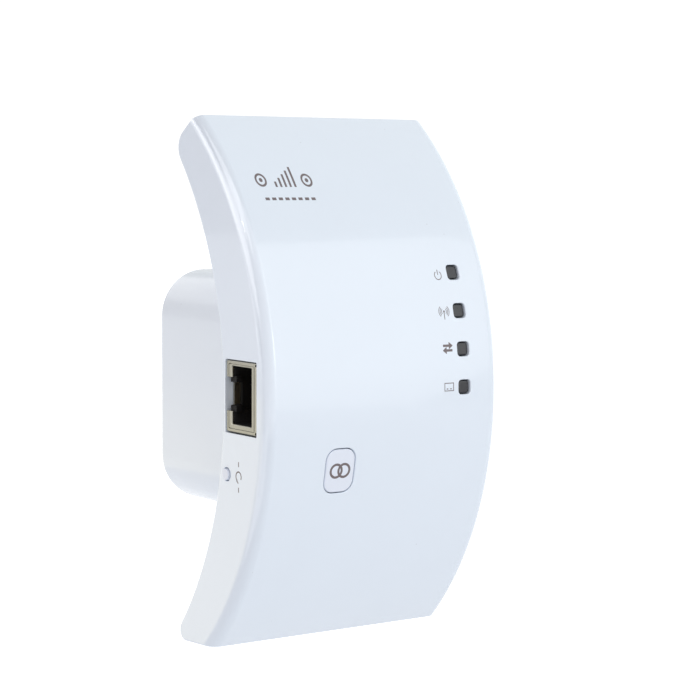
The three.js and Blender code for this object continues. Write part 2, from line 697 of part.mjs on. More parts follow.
/** A screw whose head rests on the plane y = seat; direction is where its shank points. */
function screw({ head, headHeight, shank, length }, x, seat, z, direction) {
  const profile = [
    [0, -length],
    [shank, -length],
    [shank, 0],
    [head, 0],
    [head, headHeight * SCREW_CROWN.side],
    [head * SCREW_CROWN.flat, headHeight],
    [0, headHeight],
  ].map(([radius, height]) => new THREE.Vector2(radius, height));
  const geometry = new THREE.LatheGeometry(profile, SCREW_SIDES);
  if (direction > 0) {
    geometry.rotateX(Math.PI);
  }
  return solid(geometry.translate(x, seat, z));
}

// ---------------------------------------------------------------- materials

const material = (color, roughness, metalness = 0) => {
  return new THREE.MeshStandardMaterial({ color, roughness, metalness });
};

const WHITE_GLOSS = material(0xe4e9f4, 0.15);
const WHITE_SATIN = material(0xe2e6ee, 0.3);
const SMOKED = material(0x3c3f45, 0.2);
const NICKEL = material(0xb9b5a6, 0.35, 1);
const BRASS = material(0xd8b45a, 0.3, 1);
const GOLD = material(0xd9b25c, 0.25, 1);
const STEEL = material(0x9a9ca0, 0.4, 1);
const BLACK_PLASTIC = material(0x17181a, 0.5);
const BOARD_GREEN = material(0x1f5a38, 0.5);
const BOARD_TAN = material(0xb08a52, 0.6);
const CHIP_BLACK = material(0x1c1c1e, 0.6);
const FERRITE = material(0x2b2b2d, 0.7);
const TAPE_YELLOW = material(0xd8b43a, 0.6);
const SLEEVE_BLACK = material(0x1e2126, 0.4);
const DISC_BLUE = material(0x2a5ea8, 0.4);
const LED_CLEAR = material(0xf2f0e0, 0.2);
const SHEET_CLEAR = material(0xd8dcd8, 0.5);
const LEAD_RED = material(0xb02a25, 0.5);
const LEAD_BLACK = material(0x202022, 0.5);
const RESISTOR_GREEN = material(0x5a7f5c, 0.6);

// ---------------------------------------------------------------- assembly

const extender = new THREE.Group();
extender.name = "wifi_range_extender";

function place(name, body, finish) {
  const mesh = new THREE.Mesh(surface(body), finish);
  mesh.name = name;
  extender.add(mesh);
}

place("front_shell", frontShell(), WHITE_GLOSS);
place("rear_shell", rearShell(), WHITE_SATIN);
place("plug_carrier", plugCarrier(), WHITE_SATIN);
place("blade_live", blade(1), BRASS);
place("blade_neutral", blade(-1), BRASS);
place("wps_button", wpsButton(), WHITE_GLOSS);
place("reset_button", resetButton(), WHITE_GLOSS);
place("light_pipe", lightPipe(), SMOKED);

place("ethernet_jack_shield", jackShield(), NICKEL);
place("ethernet_jack_housing", jackHousing(), BLACK_PLASTIC);
for (let index = 0; index < CONTACT.count; index += 1) {
  place(`ethernet_contact_${index + 1}`, jackContact(index), GOLD);
}

place("main_board", mainBoard(), BOARD_GREEN);
const mainFinishes = { rf_shield: STEEL, crystal: STEEL };
for (const [name, component] of Object.entries(MAIN_COMPONENTS)) {
  place(name, onBoard(MAIN_BOARD, component), mainFinishes[name] ?? CHIP_BLACK);
}
WINDOW.z.forEach((z, index) => {
  place(`status_led_${index + 1}`, onBoard(MAIN_BOARD, { x: WINDOW.x, z, ...STATUS_LED }), LED_CLEAR);
});
place("wps_switch_body", wpsSwitchBody(), BLACK_PLASTIC);
place("wps_switch_plunger", wpsSwitchPlunger(), BLACK_PLASTIC);
place("reset_switch_body", resetSwitchBody(), STEEL);
place("reset_switch_plunger", resetSwitchPlunger(), BLACK_PLASTIC);
place("antenna_upper", antenna(UPPER_ANTENNA), BOARD_GREEN);
place("antenna_lower", antenna(LOWER_ANTENNA), BOARD_GREEN);
place("antenna_cable_upper", antennaCable(UPPER_ANTENNA, UPPER_CABLE), LEAD_BLACK);
place("antenna_cable_lower", antennaCable(LOWER_ANTENNA, LOWER_CABLE), LEAD_BLACK);

place("power_board", powerBoard(), BOARD_TAN);
place("transformer_core", transformerCore(), FERRITE);
place("transformer_winding", transformerWinding(), TAPE_YELLOW);
for (const [name, capacitor] of Object.entries(CAPACITORS)) {
  place(name, canOnBoard(POWER_BOARD, capacitor), SLEEVE_BLACK);
}
const powerFinishes = { y_capacitor: DISC_BLUE, fuse_resistor: RESISTOR_GREEN };
for (const [name, component] of Object.entries(POWER_COMPONENTS)) {
  place(name, onBoard(POWER_BOARD, component), powerFinishes[name] ?? CHIP_BLACK);
}
place("insulation_sheet", insulationSheet(), SHEET_CLEAR);
place("dc_lead_positive", dcLead(DC_LEAD.positiveZ), LEAD_RED);
place("dc_lead_negative", dcLead(DC_LEAD.negativeZ), LEAD_BLACK);

CASE_SCREWS.forEach(([x, z], index) => {
  place(`case_screw_${index + 1}`, screw(CASE_SCREW, x, screwSeat(z), z, -1), STEEL);
});
BOARD_SCREWS.forEach(([x, z], index) => {
  place(`board_screw_${index + 1}`, screw(SMALL_SCREW, x, MAIN_BOARD.front - SOLDER, z, 1), STEEL);
});
POWER_SCREWS.forEach(([x, z], index) => {
  const head = screw(SMALL_SCREW, x, POWER_BOARD.front - SOLDER, z, 1);
  place(`power_board_screw_${index + 1}`, head, STEEL);
});

export default extender;
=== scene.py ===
import math
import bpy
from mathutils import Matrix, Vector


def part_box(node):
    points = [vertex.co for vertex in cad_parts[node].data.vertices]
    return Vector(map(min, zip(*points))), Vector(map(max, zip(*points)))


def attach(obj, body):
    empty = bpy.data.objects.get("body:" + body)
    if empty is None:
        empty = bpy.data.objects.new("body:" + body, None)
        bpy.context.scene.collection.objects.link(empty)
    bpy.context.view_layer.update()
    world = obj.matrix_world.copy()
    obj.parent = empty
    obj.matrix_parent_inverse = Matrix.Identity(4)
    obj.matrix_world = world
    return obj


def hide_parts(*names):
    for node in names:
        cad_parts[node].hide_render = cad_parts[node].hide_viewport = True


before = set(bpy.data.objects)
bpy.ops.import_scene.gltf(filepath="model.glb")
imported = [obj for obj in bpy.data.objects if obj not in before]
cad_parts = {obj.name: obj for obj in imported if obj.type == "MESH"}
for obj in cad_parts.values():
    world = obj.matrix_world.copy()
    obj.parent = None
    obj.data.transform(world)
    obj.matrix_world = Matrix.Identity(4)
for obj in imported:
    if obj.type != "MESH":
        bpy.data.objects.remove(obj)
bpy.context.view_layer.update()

from types import SimpleNamespace as Sizes

import bmesh
import bpy
import numpy as np
from mathutils import Matrix, Quaternion, Vector

scene = bpy.context.scene

# ---------------- sizes, in millimetres

MM = 0.001


def cad_box_mm(node):
    """A CAD node's lowest and highest corner, in millimetres."""
    low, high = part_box(node)
    return low / MM, high / MM


SHELL_LOW, SHELL_HIGH = cad_box_mm("front_shell")
JACK_LOW, JACK_HIGH = cad_box_mm("ethernet_jack_shield")
BOARD_LOW, BOARD_HIGH = cad_box_mm("main_board")
POWER_LOW, POWER_HIGH = cad_box_mm("power_board")

# The visible surfaces lie this far inside the CAD solid, so that ink can stand out of them.
INK_PROUD = 0.012
INK_DEPTH = 0.1

HALF_WIDTH = SHELL_HIGH.x - INK_PROUD
WALL = 2.0
SEAM = 0.3
SLIP = 0.2
EDGE_ROUND = 2.5
RIM_ROUND = 0.4
HOLE_RIM = 0.3
FRONT_HOLE_RIM = 0.22
SIDE_HOLE_DEPTH = WALL + 0.5

# A cutter reaches this far past what it cuts.
OVERRUN = 1.0

# The strip's front and rear surfaces are arcs about axes along X, behind the object.
FRONT_RADIUS = 75.0
FRONT_CENTRE_Y = SHELL_LOW.y + INK_PROUD + FRONT_RADIUS
REAR_RADIUS = 77.6
REAR_CENTRE_Y = 42.4
REAR_REACH = 70.0
CAVITY_END_Y = -5.0

# An end face passes through (y, z), tilts by an angle, and its inner side is up (1) or down (-1).
TOP_END = Sizes(y=-24.5, z=58.85, tilt=-35.0, inward=-1, corner=4.0)
BOTTOM_END = Sizes(y=-30.6, z=-52.15, tilt=-2.7, inward=1, corner=2.2)

# A crown is how far the innermost ring across a piece's top lies inside its outline.
BLOCK = Sizes(
    width=49.3, height=50.4, corner=10.3, edge=2.2, face=2.4,
    depth=42.0, hollow=46.0, crown=20.0,
)
BOARD_RELIEF_Y = -46.0
VENT = Sizes(count=6, pitch=4.6, width=1.6, length=11.0, z=34.5)
CARRIER = Sizes(
    width=34.0, height=24.0, corner=4.0, flange=1.2, ledge=1.6,
    root=0.6, inner=6.5, crown=8.0,
)
BLADE = Sizes(
    spacing=12.7, width=6.35, thickness=1.5, length=17.5, root=-9.6,
    tip=1.6, edge=0.2, hole_y=11.7, hole_radius=1.7,
)

CASE_SCREWS = [(-22.5, 46.0), (22.5, 46.0), (-22.5, -42.0), (22.5, -42.0)]
BOARD_SCREWS = [(-18.8, 29.3), (18.8, 29.3), (-19.0, -26.8), (19.0, -26.8)]
POWER_SCREWS = [(-18.4, 0.0), (18.4, 0.0)]
SCREW = Sizes(
    drive=4.0, head=2.3, head_height=1.6, crown=0.9, shank=1.1,
    length=8.98, point=0.25, rim_depth=1.2,
)
THREAD = Sizes(pitch=0.8, crest=0.2, root=0.48, depth=0.25, plain=1.48, tip=0.3, end=0.1)
RECESS = Sizes(width=0.55, length=2.5, depth=1.1, corner=0.2, flare=0.05, taper=0.16)
BOSS = Sizes(radius=4.0, web=2.0, sunk=1.0)
POST = Sizes(radius=3.1, bore=8.0, sunk=0.5)
BOARD_POST = Sizes(radius=2.2, gap=0.05)
POWER_POST = Sizes(radius=2.4, gap=0.05)
BOARD_BORE = Sizes(radius=1.1, depth=4.7)

WINDOW_Z = (25.5, 17.5, 9.5, 1.5)
WINDOWS = [Sizes(x=20.15, z=z, width=3.15, height=3.1, round=0.8) for z in WINDOW_Z]
PIPE = Sizes(recess=0.45, edge=0.3, depth=3.0, crown=1.4, sunk=0.2)
PIPE_BAR = Sizes(x=(18.65, 21.65), y=(-38.6, -37.2), z=(-0.6, 27.6))
WPS = Sizes(x=-10.85, z=-14.1, width=7.4, height=9.4, round=2.5)
CAP = Sizes(edge=0.3, depth=3.2, crown=3.3, flange=0.7, flange_y=(-46.4, -45.6), stem_radius=1.6)
RESET = Sizes(y=-36.4, z=-15.0, radius=1.45, rim=0.08, gap=0.27, edge=0.12, inner_radius=0.05)
RESET_FLANGE = Sizes(x=(-27.05, -26.45), half_y=1.3, half_z=2.4)
RESET_RELIEF = Sizes(end_x=-21.45, behind=1.65, half_z=3.0)
SIDE_CLEAR_X = -30.0
FRONT_CLEAR_Y = -50.0

JACK_HOLE = Sizes(corner=0.3, rim=0.06, relief=0.5)
MOUTH = Sizes(y=(-45.5, -38.1), z=(-4.5, 7.3), end_x=-17.45)
SHIELD = Sizes(sheet=0.5, corner=0.45, edge=0.3, mouth_corner=0.2, mouth_rim=0.25)
GROOVE = Sizes(from_y=0.95, from_low_z=0.8, from_high_z=0.7, half_width=0.1, depth=0.3)
NICK = Sizes(from_y=0.35, from_z=0.5, radius=0.28, depth=0.4)
HOUSING = Sizes(corner=0.2, edge=0.15, mouth_rim=0.2, mouth_bevel=0.3)
LATCH = Sizes(
    z=(-1.9, 5.05), end_x=-20.45, wall_y=-37.2, notch=1.6, mouth=2.5,
    shoulder=1.1, shoulder_depth=1.2, shoulder_y=(-38.95, -37.0), grip=0.15,
)
CONTACTS = 8
COMB = Sizes(start_x=-28.05, below=0.35, above=0.5, side=0.12)

# ---------------- outlines

# An outline that is shrunk too far stops at these sizes.
LEAST_HALF = 0.02
LEAST_RADIUS = 0.015


def circle_points(centre, radius, start, end, steps):
    """Points on a circle from one angle to another, both ends included."""
    angles = np.linspace(start, end, steps + 1)
    return [(centre[0] + radius * math.cos(a), centre[1] + radius * math.sin(a)) for a in angles]


def rounded_rect(a, b, width, height, radius, corner_steps=6, side_steps=4):
    """A function that gives a rectangle with round corners about (a, b), grown by an offset."""

    def outline(offset):
        half_a = max(width / 2 + offset, LEAST_HALF)
        half_b = max(height / 2 + offset, LEAST_HALF)
        corner = min(max(radius + offset, LEAST_RADIUS), half_a, half_b)
        points = []
        for side_a, side_b, quarter in ((1, 1, 0), (-1, 1, 1), (-1, -1, 2), (1, -1, 3)):
            centre = (a + side_a * (half_a - corner), b + side_b * (half_b - corner))
            start = quarter * math.pi / 2
            points.extend(circle_points(centre, corner, start, start + math.pi / 2, corner_steps))
        return subdivide_sides(points, corner_steps + 1, side_steps)

    return outline


def subdivide_sides(points, per_corner, side_steps):
    """Adds points along the straight stretch after each corner."""
    result = []
    count = len(points)
    for index, point in enumerate(points):
        result.append(point)
        if index % per_corner == per_corner - 1:
            following = points[(index + 1) % count]
            for step in range(1, side_steps):
                share = step / side_steps
                result.append(tuple(p + (q - p) * share for p, q in zip(point, following)))
    return result


def rect_between(a, b, corner, steps=4):
    """The same outline from two (from, to) pairs."""
    centre_a, centre_b = (a[0] + a[1]) / 2, (b[0] + b[1]) / 2
    return rounded_rect(centre_a, centre_b, a[1] - a[0], b[1] - b[0], corner, steps)


def ring_points(a, b, radius, steps):
    return circle_points((a, b), radius, 0, 2 * math.pi, steps)[:-1]


def disc(a, b, radius, steps=32):
    """A function that gives a circle about (a, b), grown by an offset."""
    return lambda offset: ring_points(a, b, max(radius + offset, LEAST_RADIUS), steps)


def rounding(radius, start=12, steps=6):
    """(offset, depth) pairs of a round edge, from an angle in degrees to the straight side."""
    angles = np.radians(np.linspace(start, 90, steps + 1))
    return [(radius * (1 - math.sin(a)), radius * (1 - math.cos(a))) for a in angles]


def hole_profile(round_radius, depth, above=0.6):
    """(offset, depth) pairs of a cutter for a hole with a round rim."""
    rim = rounding(round_radius)
    return [(rim[0][0], -above), *rim, (0.0, depth)]


def peg_profile(round_radius, depth, inner, gap=0.0, sunk=0.0, steps=5):
    """(offset, depth) pairs of a peg: rings across its top, a round edge, then straight sides."""
    rings = np.linspace(-inner, -gap - round_radius, 6)[:-1]
    edge = [(-gap - offset, sunk + drop) for offset, drop in rounding(round_radius, 0, steps)]
    return [*((offset, sunk) for offset in rings), *edge, (-gap, depth)]


# ---------------- where surfaces lie


def front_y(z):
    return FRONT_CENTRE_Y - math.sqrt(FRONT_RADIUS**2 - z * z)


def rear_y(z, inset=0.0):
    return REAR_CENTRE_Y - math.sqrt((REAR_RADIUS + inset) ** 2 - z * z)


def on_front(x, z, depth):
    return (x, front_y(z) + depth, z)


def on_rear(x, z, depth):
    return (x, rear_y(z) - depth, z)


def on_left(y, z, depth):
    return (-HALF_WIDTH + depth, y, z)


def on_plug_face(x, z, depth):
    return (x, -depth, z)


def along_y(x, z, y):
    return (x, y, z)


def past_x(x):
    """A function that places (y, z) at a depth past a plane across X."""
    return lambda y, z, depth: (x + depth, y, z)


def end_line(end, inset):
    """An end face's direction, its inward normal and a point on it, moved in by inset."""
    tilt = math.radians(end.tilt)
    along = Vector((math.cos(tilt), math.sin(tilt)))
    inward = Vector((-along.y, along.x)) * end.inward
    return along, inward, Vector((end.y, end.z)) + inward * inset


def end_meets(end, inset, centre_y, radius):
    """Where an end face's line, moved in by inset, first meets a circle about (centre_y, 0)."""
    along, _, point = end_line(end, inset)
    offset = point - Vector((centre_y, 0))
    middle = offset.dot(along)
    reach = math.sqrt(middle**2 - offset.length_squared + radius**2)
    return point + along * (-middle - reach)


def angle_of(vector):
    return math.atan2(vector.y, vector.x)


def turn_between(start, end):
    """The signed turn from one angle to another, within half a turn."""
    return (end - start + math.pi) % (2 * math.pi) - math.pi


def rear_corner(end, inset, rim, steps):
    """The round corner from an end face, moved in by inset, to the rear arc, moved in by rim."""
    radius = end.corner
    centre = end_meets(end, radius, REAR_CENTRE_Y, REAR_RADIUS + radius)
    facing = angle_of(-end_line(end, 0)[1])
    finish = angle_of(Vector((REAR_CENTRE_Y, 0)) - centre)
    turn = turn_between(facing, finish)
    skipped = math.copysign(math.acos((radius - inset) / (radius - rim)), turn)
    return circle_points(centre, radius - rim, facing + skipped, facing + turn, steps)


def front_corner(end, inset, rim, steps):
    """The small round edge from the front arc, moved in by inset, to an end face, in by rim."""
    centre = end_meets(end, rim + RIM_ROUND, FRONT_CENTRE_Y, FRONT_RADIUS - inset - RIM_ROUND)
    start = angle_of(centre - Vector((FRONT_CENTRE_Y, 0)))
    finish = angle_of(-end_line(end, 0)[1])
    return circle_points(centre, RIM_ROUND, start, start + turn_between(start, finish), steps)


def arc_between(centre_y, start, end, steps):
    """Points inside a stretch of an arc about (centre_y, 0), without its two ends."""
    start = Vector(start) - Vector((centre_y, 0))
    end = Vector(end) - Vector((centre_y, 0))
    first = angle_of(start) % (2 * math.pi)
    last = angle_of(end) % (2 * math.pi)
    return circle_points((centre_y, 0), start.length, first, last, steps)[1:-1]


def strip_section(inset, rim):
    """The strip's (y, z) outline across X: its front moved in by inset, the rest by rim."""
    top_front = front_corner(TOP_END, inset, rim, 6)
    bottom_front = front_corner(BOTTOM_END, inset, rim, 6)[::-1]
    top_rear = rear_corner(TOP_END, rim, rim, 14)
    bottom_rear = rear_corner(BOTTOM_END, rim, rim, 12)[::-1]
    return [
        *bottom_front,
        *arc_between(FRONT_CENTRE_Y, bottom_front[-1], top_front[0], 110),
        *top_front,
        *top_rear,
        *arc_between(REAR_CENTRE_Y, top_rear[-1], bottom_rear[0], 90),
        *bottom_rear,
    ]


def round_distances(radius, steps):
    """Distances from the side plane of slices across a round edge."""
    return [depth for _, depth in rounding(radius, 0, steps)]


def round_inset(distance, radius):
    """How far a round edge lies inside its face, at a distance from its other face."""
    reach = max(radius - distance, 0)
    return radius - math.sqrt(radius**2 - reach**2)


# ---------------- mesh building


def new_object(vertices, faces, name="piece"):
    mesh = bpy.data.meshes.new(name)
    mesh.from_pydata([tuple(c * MM for c in v) for v in vertices], [], faces)
    bm = bmesh.new()
    bm.from_mesh(mesh)
    bmesh.ops.recalc_face_normals(bm, faces=bm.faces)
    bm.to_mesh(mesh)
    bm.free()
    obj = bpy.data.objects.new(name, mesh)
    scene.collection.objects.link(obj)
    return obj


def loft(loops):
    """A closed mesh through loops with the same number of points, with a cap at each end."""
    count = len(loops[0])
    vertices = [point for loop in loops for point in loop]
    faces = []
    for row in range(len(loops) - 1):
        low, high = row * count, (row + 1) * count
        for i in range(count):
            j = (i + 1) % count
            faces.append((low + i, low + j, high + j, high + i))
    faces.append(tuple(range(count))[::-1])
    last = (len(loops) - 1) * count
    faces.append(tuple(range(last, last + count)))
    return new_object(vertices, faces)


def plug(outline, profile, place):
    """A closed mesh whose section is outline(offset), along (offset, depth) pairs of a profile."""
    loops = [[place(a, b, depth) for a, b in outline(offset)] for offset, depth in profile]
    return loft(loops)


def box(x, y, z):
    corners = [(i, j, k) for i in x for j in y for k in z]
    faces = [(0, 1, 3, 2), (4, 6, 7, 5), (0, 4, 5, 1), (2, 3, 7, 6), (0, 2, 6, 4), (1, 5, 7, 3)]
    return new_object(corners, faces)


def rod_y(x, z, radius, start, end):
    return plug(disc(x, z, radius), [(0, start), (0, end)], along_y)


def combine(body, others, operation):
    """Joins or cuts body with other closed meshes, which are used up."""
    for other in others:
        modifier = body.modifiers.new("combine", "BOOLEAN")
        modifier.operation = operation
        modifier.solver = "MANIFOLD"
        modifier.object = other
        graph = bpy.context.evaluated_depsgraph_get()
        mesh = bpy.data.meshes.new_from_object(body.evaluated_get(graph))
        body.modifiers.clear()
        body.data = mesh
        bpy.data.objects.remove(other)
    return body


def cut(body, tools):
    return combine(body, tools, "DIFFERENCE")


def joined(body, others):
    return combine(body, others, "UNION")


# ---------------- smooth normals on cut surfaces

# A face belongs to a skin if it lies within this reach and faces the same way.
SKIN_REACH = 0.03
FLAT_REACH = 0.002
SAME_FACING = 0.97
CREASE_ANGLE = 35


def away_from_axis(points, centre_y):
    """Distance from an axis along X, and the direction away from it."""
    y, z = points[:, 1] - centre_y, points[:, 2]
    radial = np.hypot(y, z)
    return radial, np.stack([np.zeros_like(y), y / radial, z / radial], axis=1)


def front_skin(points):
    """Distance to the front arc with its round side edges, the true normal, and the tolerance."""
    across = points[:, 0]
    radial, toward = away_from_axis(points, FRONT_CENTRE_Y)
    beyond = np.maximum(np.abs(across) - (HALF_WIDTH - EDGE_ROUND), 0)
    height = radial - (FRONT_RADIUS - EDGE_ROUND)
    distance = np.where(beyond > 0, np.hypot(beyond, height) - EDGE_ROUND, radial - FRONT_RADIUS)
    distance = np.where(height > 0, distance, SKIN_REACH * 2)
    reach = np.hypot(beyond, height)[:, None]
    side = np.zeros_like(toward)
    side[:, 0] = np.sign(across)
    rounded = (side * beyond[:, None] + toward * height[:, None]) / reach
    normal = np.where(beyond[:, None] > 0, rounded, toward)
    return distance, normal, SKIN_REACH


def rear_skin(points):
    """Distance to the rear arc, the true normal there, and the tolerance."""
    radial, toward = away_from_axis(points, REAR_CENTRE_Y)
    return radial - REAR_RADIUS, -toward, SKIN_REACH


def flat_skin(spot, normal):
    """A function that gives the distance to a plane, its normal, and the tolerance."""

    def skin(points):
        distance = (points - np.array(spot)) @ np.array(normal)
        return distance, np.tile(normal, (len(points), 1)), FLAT_REACH

    return skin


def end_skin(end):
    outward = -end_line(end, 0)[1]
    return flat_skin((0, end.y, end.z), (0, outward.x, outward.y))


SHELL_SKINS = (
    front_skin,
    rear_skin,
    end_skin(TOP_END),
    end_skin(BOTTOM_END),
    flat_skin((HALF_WIDTH, 0, 0), (1, 0, 0)),
    flat_skin((-HALF_WIDTH, 0, 0), (-1, 0, 0)),
)


def mesh_values(collection, key, width, kind=np.float32):
    """One attribute of every mesh element, as rows of this width."""
    values = np.zeros(len(collection) * width, kind)
    collection.foreach_get(key, values)
    return values.reshape(-1, width) if width > 1 else values


def shade(obj, skins):
    """Smooth shading with sharp creases, and true normals where a face lies on a known skin."""
    mesh = obj.data
    mesh.shade_smooth()
    mesh.set_sharp_from_angle(angle=math.radians(CREASE_ANGLE))
    if not skins:
        return
    normals = mesh_values(mesh.corner_normals, "vector", 3)
    vertices = mesh_values(mesh.vertices, "co", 3) / MM
    corner_vertex = mesh_values(mesh.loops, "vertex_index", 1, np.int32)
    sizes = mesh_values(mesh.polygons, "loop_total", 1, np.int32)
    facing = mesh_values(mesh.polygons, "normal", 3)
    centres = mesh_values(mesh.polygons, "center", 3) / MM
    corner_face = np.repeat(np.arange(len(sizes)), sizes)
    for skin in skins:
        distance, true, reach = skin(centres)
        on_skin = (np.abs(distance) < reach) & ((facing * true).sum(axis=1) > SAME_FACING)
        corner_distance, corner_true, reach = skin(vertices[corner_vertex])
        chosen = on_skin[corner_face] & (np.abs(corner_distance) < reach)
        normals[chosen] = corner_true[chosen]
    mesh.normals_split_custom_set([tuple(n) for n in normals])


def finish_piece(obj, node, slot, body="casing", skins=()):
    """Shades a piece, names it after the CAD node it replaces, gives it the material of its slot,
    attaches it to its body and hides that CAD node.
    """
    shade(obj, skins)
    if node:
        obj.name = f"{node}_visual"
    obj.data.materials.clear()
    obj.data.materials.append(MATERIALS[slot])
    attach(obj, body)
    if node:
        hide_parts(node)


# ---------------- materials

# Wear, and on the smoked window painted shade, shows on edges tighter than this.
EDGE_WEAR_AND_SHADE_RADIUS = 0.35
# Specks of dust: how far apart, how large, how rare, and how strong.
DUST = Sizes(spacing=3.4, size=(0.02, 0.05), rare=(0.8, 0.82), strength=0.35)


def new_material(name):
    material = bpy.data.materials.new(name)
    material.use_nodes = True
    tree = material.node_tree
    return material, tree, tree.nodes["Principled BSDF"]


def add_node(tree, kind, inputs, **settings):
    """A new node with its settings, its input values and its links."""
    node = tree.nodes.new(f"ShaderNode{kind}")
    for key, value in settings.items():
        setattr(node, key, value)
    for key, value in inputs.items():
        if isinstance(value, bpy.types.NodeSocket):
            tree.links.new(value, node.inputs[key])
        else:
            node.inputs[key].default_value = value
    return node


def linear(red, green, blue):
    """A colour given as 0 to 255 display values, as linear RGBA."""
    shares = [c / 255 for c in (red, green, blue)]
    return (*(s / 12.92 if s <= 0.04045 else ((s + 0.055) / 1.055) ** 2.4 for s in shares), 1.0)


def shaded(color, factor):
    return (*(min(c * factor, 1.0) for c in color[:3]), 1.0)


def object_place(tree):
    """The point's place in the object's own space."""
    return add_node(tree, "TexCoord", {}).outputs["Object"]


def noise(tree, size, detail=3.0, stretch=(1, 1, 1)):
    """Noise in the object's own space, with features of this size in millimetres."""
    scaled = add_node(tree, "Mapping", {"Vector": object_place(tree), "Scale": stretch})
    inputs = {"Vector": scaled.outputs["Vector"], "Scale": 1 / (size * MM), "Detail": detail}
    return add_node(tree, "TexNoise", inputs).outputs["Fac"]


def remap(tree, value, low, high, from_low=0.3, from_high=0.7):
    inputs = {"Value": value, "From Min": from_low, "From Max": from_high}
    inputs.update({"To Min": low, "To Max": high})
    return add_node(tree, "MapRange", inputs).outputs["Result"]


def mix(tree, factor, first, second):
    inputs = {"Fac": factor, "Color1": first, "Color2": second}
    return add_node(tree, "MixRGB", inputs).outputs["Color"]


def edge_mask(tree, radius):
    """1 on edges tighter than radius, in millimetres, and 0 on flat faces."""
    rounded = add_node(tree, "Bevel", {"Radius": radius * MM}, samples=4)
    true = add_node(tree, "NewGeometry", {})
    inputs = {0: rounded.outputs["Normal"], 1: true.outputs["Normal"]}
    facing = add_node(tree, "VectorMath", inputs, operation="DOT_PRODUCT")
    return remap(tree, facing.outputs["Value"], 1, 0, 0.9, 0.995)


def surface(
    name, color, roughness, metallic=0.0, tone=0.03, patch=14.0, grain=0.6, relief=0.002,
    uneven=0.05, edge_wear_and_shade=1.06, stretch=(1, 1, 1), pattern=None, **sockets,
):
    """A surface whose colour varies in patches, with a fine grain, and edges that a factor above 1
    lightens as wear and a factor below 1 darkens as painted shade.

    Sizes are in millimetres. Further keywords set the shader's own inputs.
    """
    material, tree, shader = new_material(name)
    patches = noise(tree, patch)
    base = mix(tree, patches, shaded(color, 1 - tone), shaded(color, 1 + tone))
    if pattern:
        base = pattern(tree, base)
    # Edges are lightened as wear where the factor is above 1, and darkened as painted shade where it is
    # below 1.
    worn_and_shaded_edges = mix(tree, edge_mask(tree, EDGE_WEAR_AND_SHADE_RADIUS), base, shaded(color, edge_wear_and_shade))
    fine = noise(tree, grain, 2.0, stretch)
    gloss = remap(tree, fine, max(roughness - uneven, 0.02), roughness + uneven)
    bump = add_node(tree, "Bump", {"Strength": 1.0, "Distance": relief * MM, "Height": fine})
    tree.links.new(worn_and_shaded_edges, shader.inputs["Base Color"])
    tree.links.new(gloss, shader.inputs["Roughness"])
    tree.links.new(bump.outputs["Normal"], shader.inputs["Normal"])
    shader.inputs["Metallic"].default_value = metallic
    for socket, value in sockets.items():
        shader.inputs[socket.replace("_", " ")].default_value = value
    return material


def dust(tree, base):
    """Sparse faint specks."""
    inputs = {"Vector": object_place(tree), "Scale": 1 / (DUST.spacing * MM), "Randomness": 1.0}
    cells = add_node(tree, "TexVoronoi", inputs)
    near = remap(tree, cells.outputs["Distance"], 1, 0, *DUST.size)
    rare = add_node(tree, "SeparateColor", {"Color": cells.outputs["Color"]})
    chosen = remap(tree, rare.outputs["Red"], 0, DUST.strength, *DUST.rare)
    amount = add_node(tree, "Math", {0: near, 1: chosen}, operation="MULTIPLY")
    return mix(tree, amount.outputs["Value"], base, linear(150, 150, 155))


def traces(tree, base):
    """Straight copper tracks under a solder mask."""
    inputs = {"Vector": object_place(tree), "Rotation": (math.pi / 2, 0, 0)}
    turned = add_node(tree, "Mapping", inputs)
    black, white = (0, 0, 0, 1), (1, 1, 1, 1)
    inputs = {"Vector": turned.outputs["Vector"], "Scale": 1 / (2.4 * MM), "Mortar Size": 0.09}
    inputs.update({"Color1": black, "Color2": black, "Mortar": white})
    bricks = add_node(tree, "TexBrick", inputs, offset=0.5)
    return mix(tree, bricks.outputs["Color"], base, linear(70, 132, 88))


def windings(tree, base):
    """Turns of tape, edge over edge."""
    inputs = {"Vector": object_place(tree), "Scale": 1 / (9 * MM), "Distortion": 0.4}
    wave = add_node(tree, "TexWave", inputs, bands_direction="Z")
    return mix(tree, wave.outputs["Fac"], base, linear(188, 150, 40))


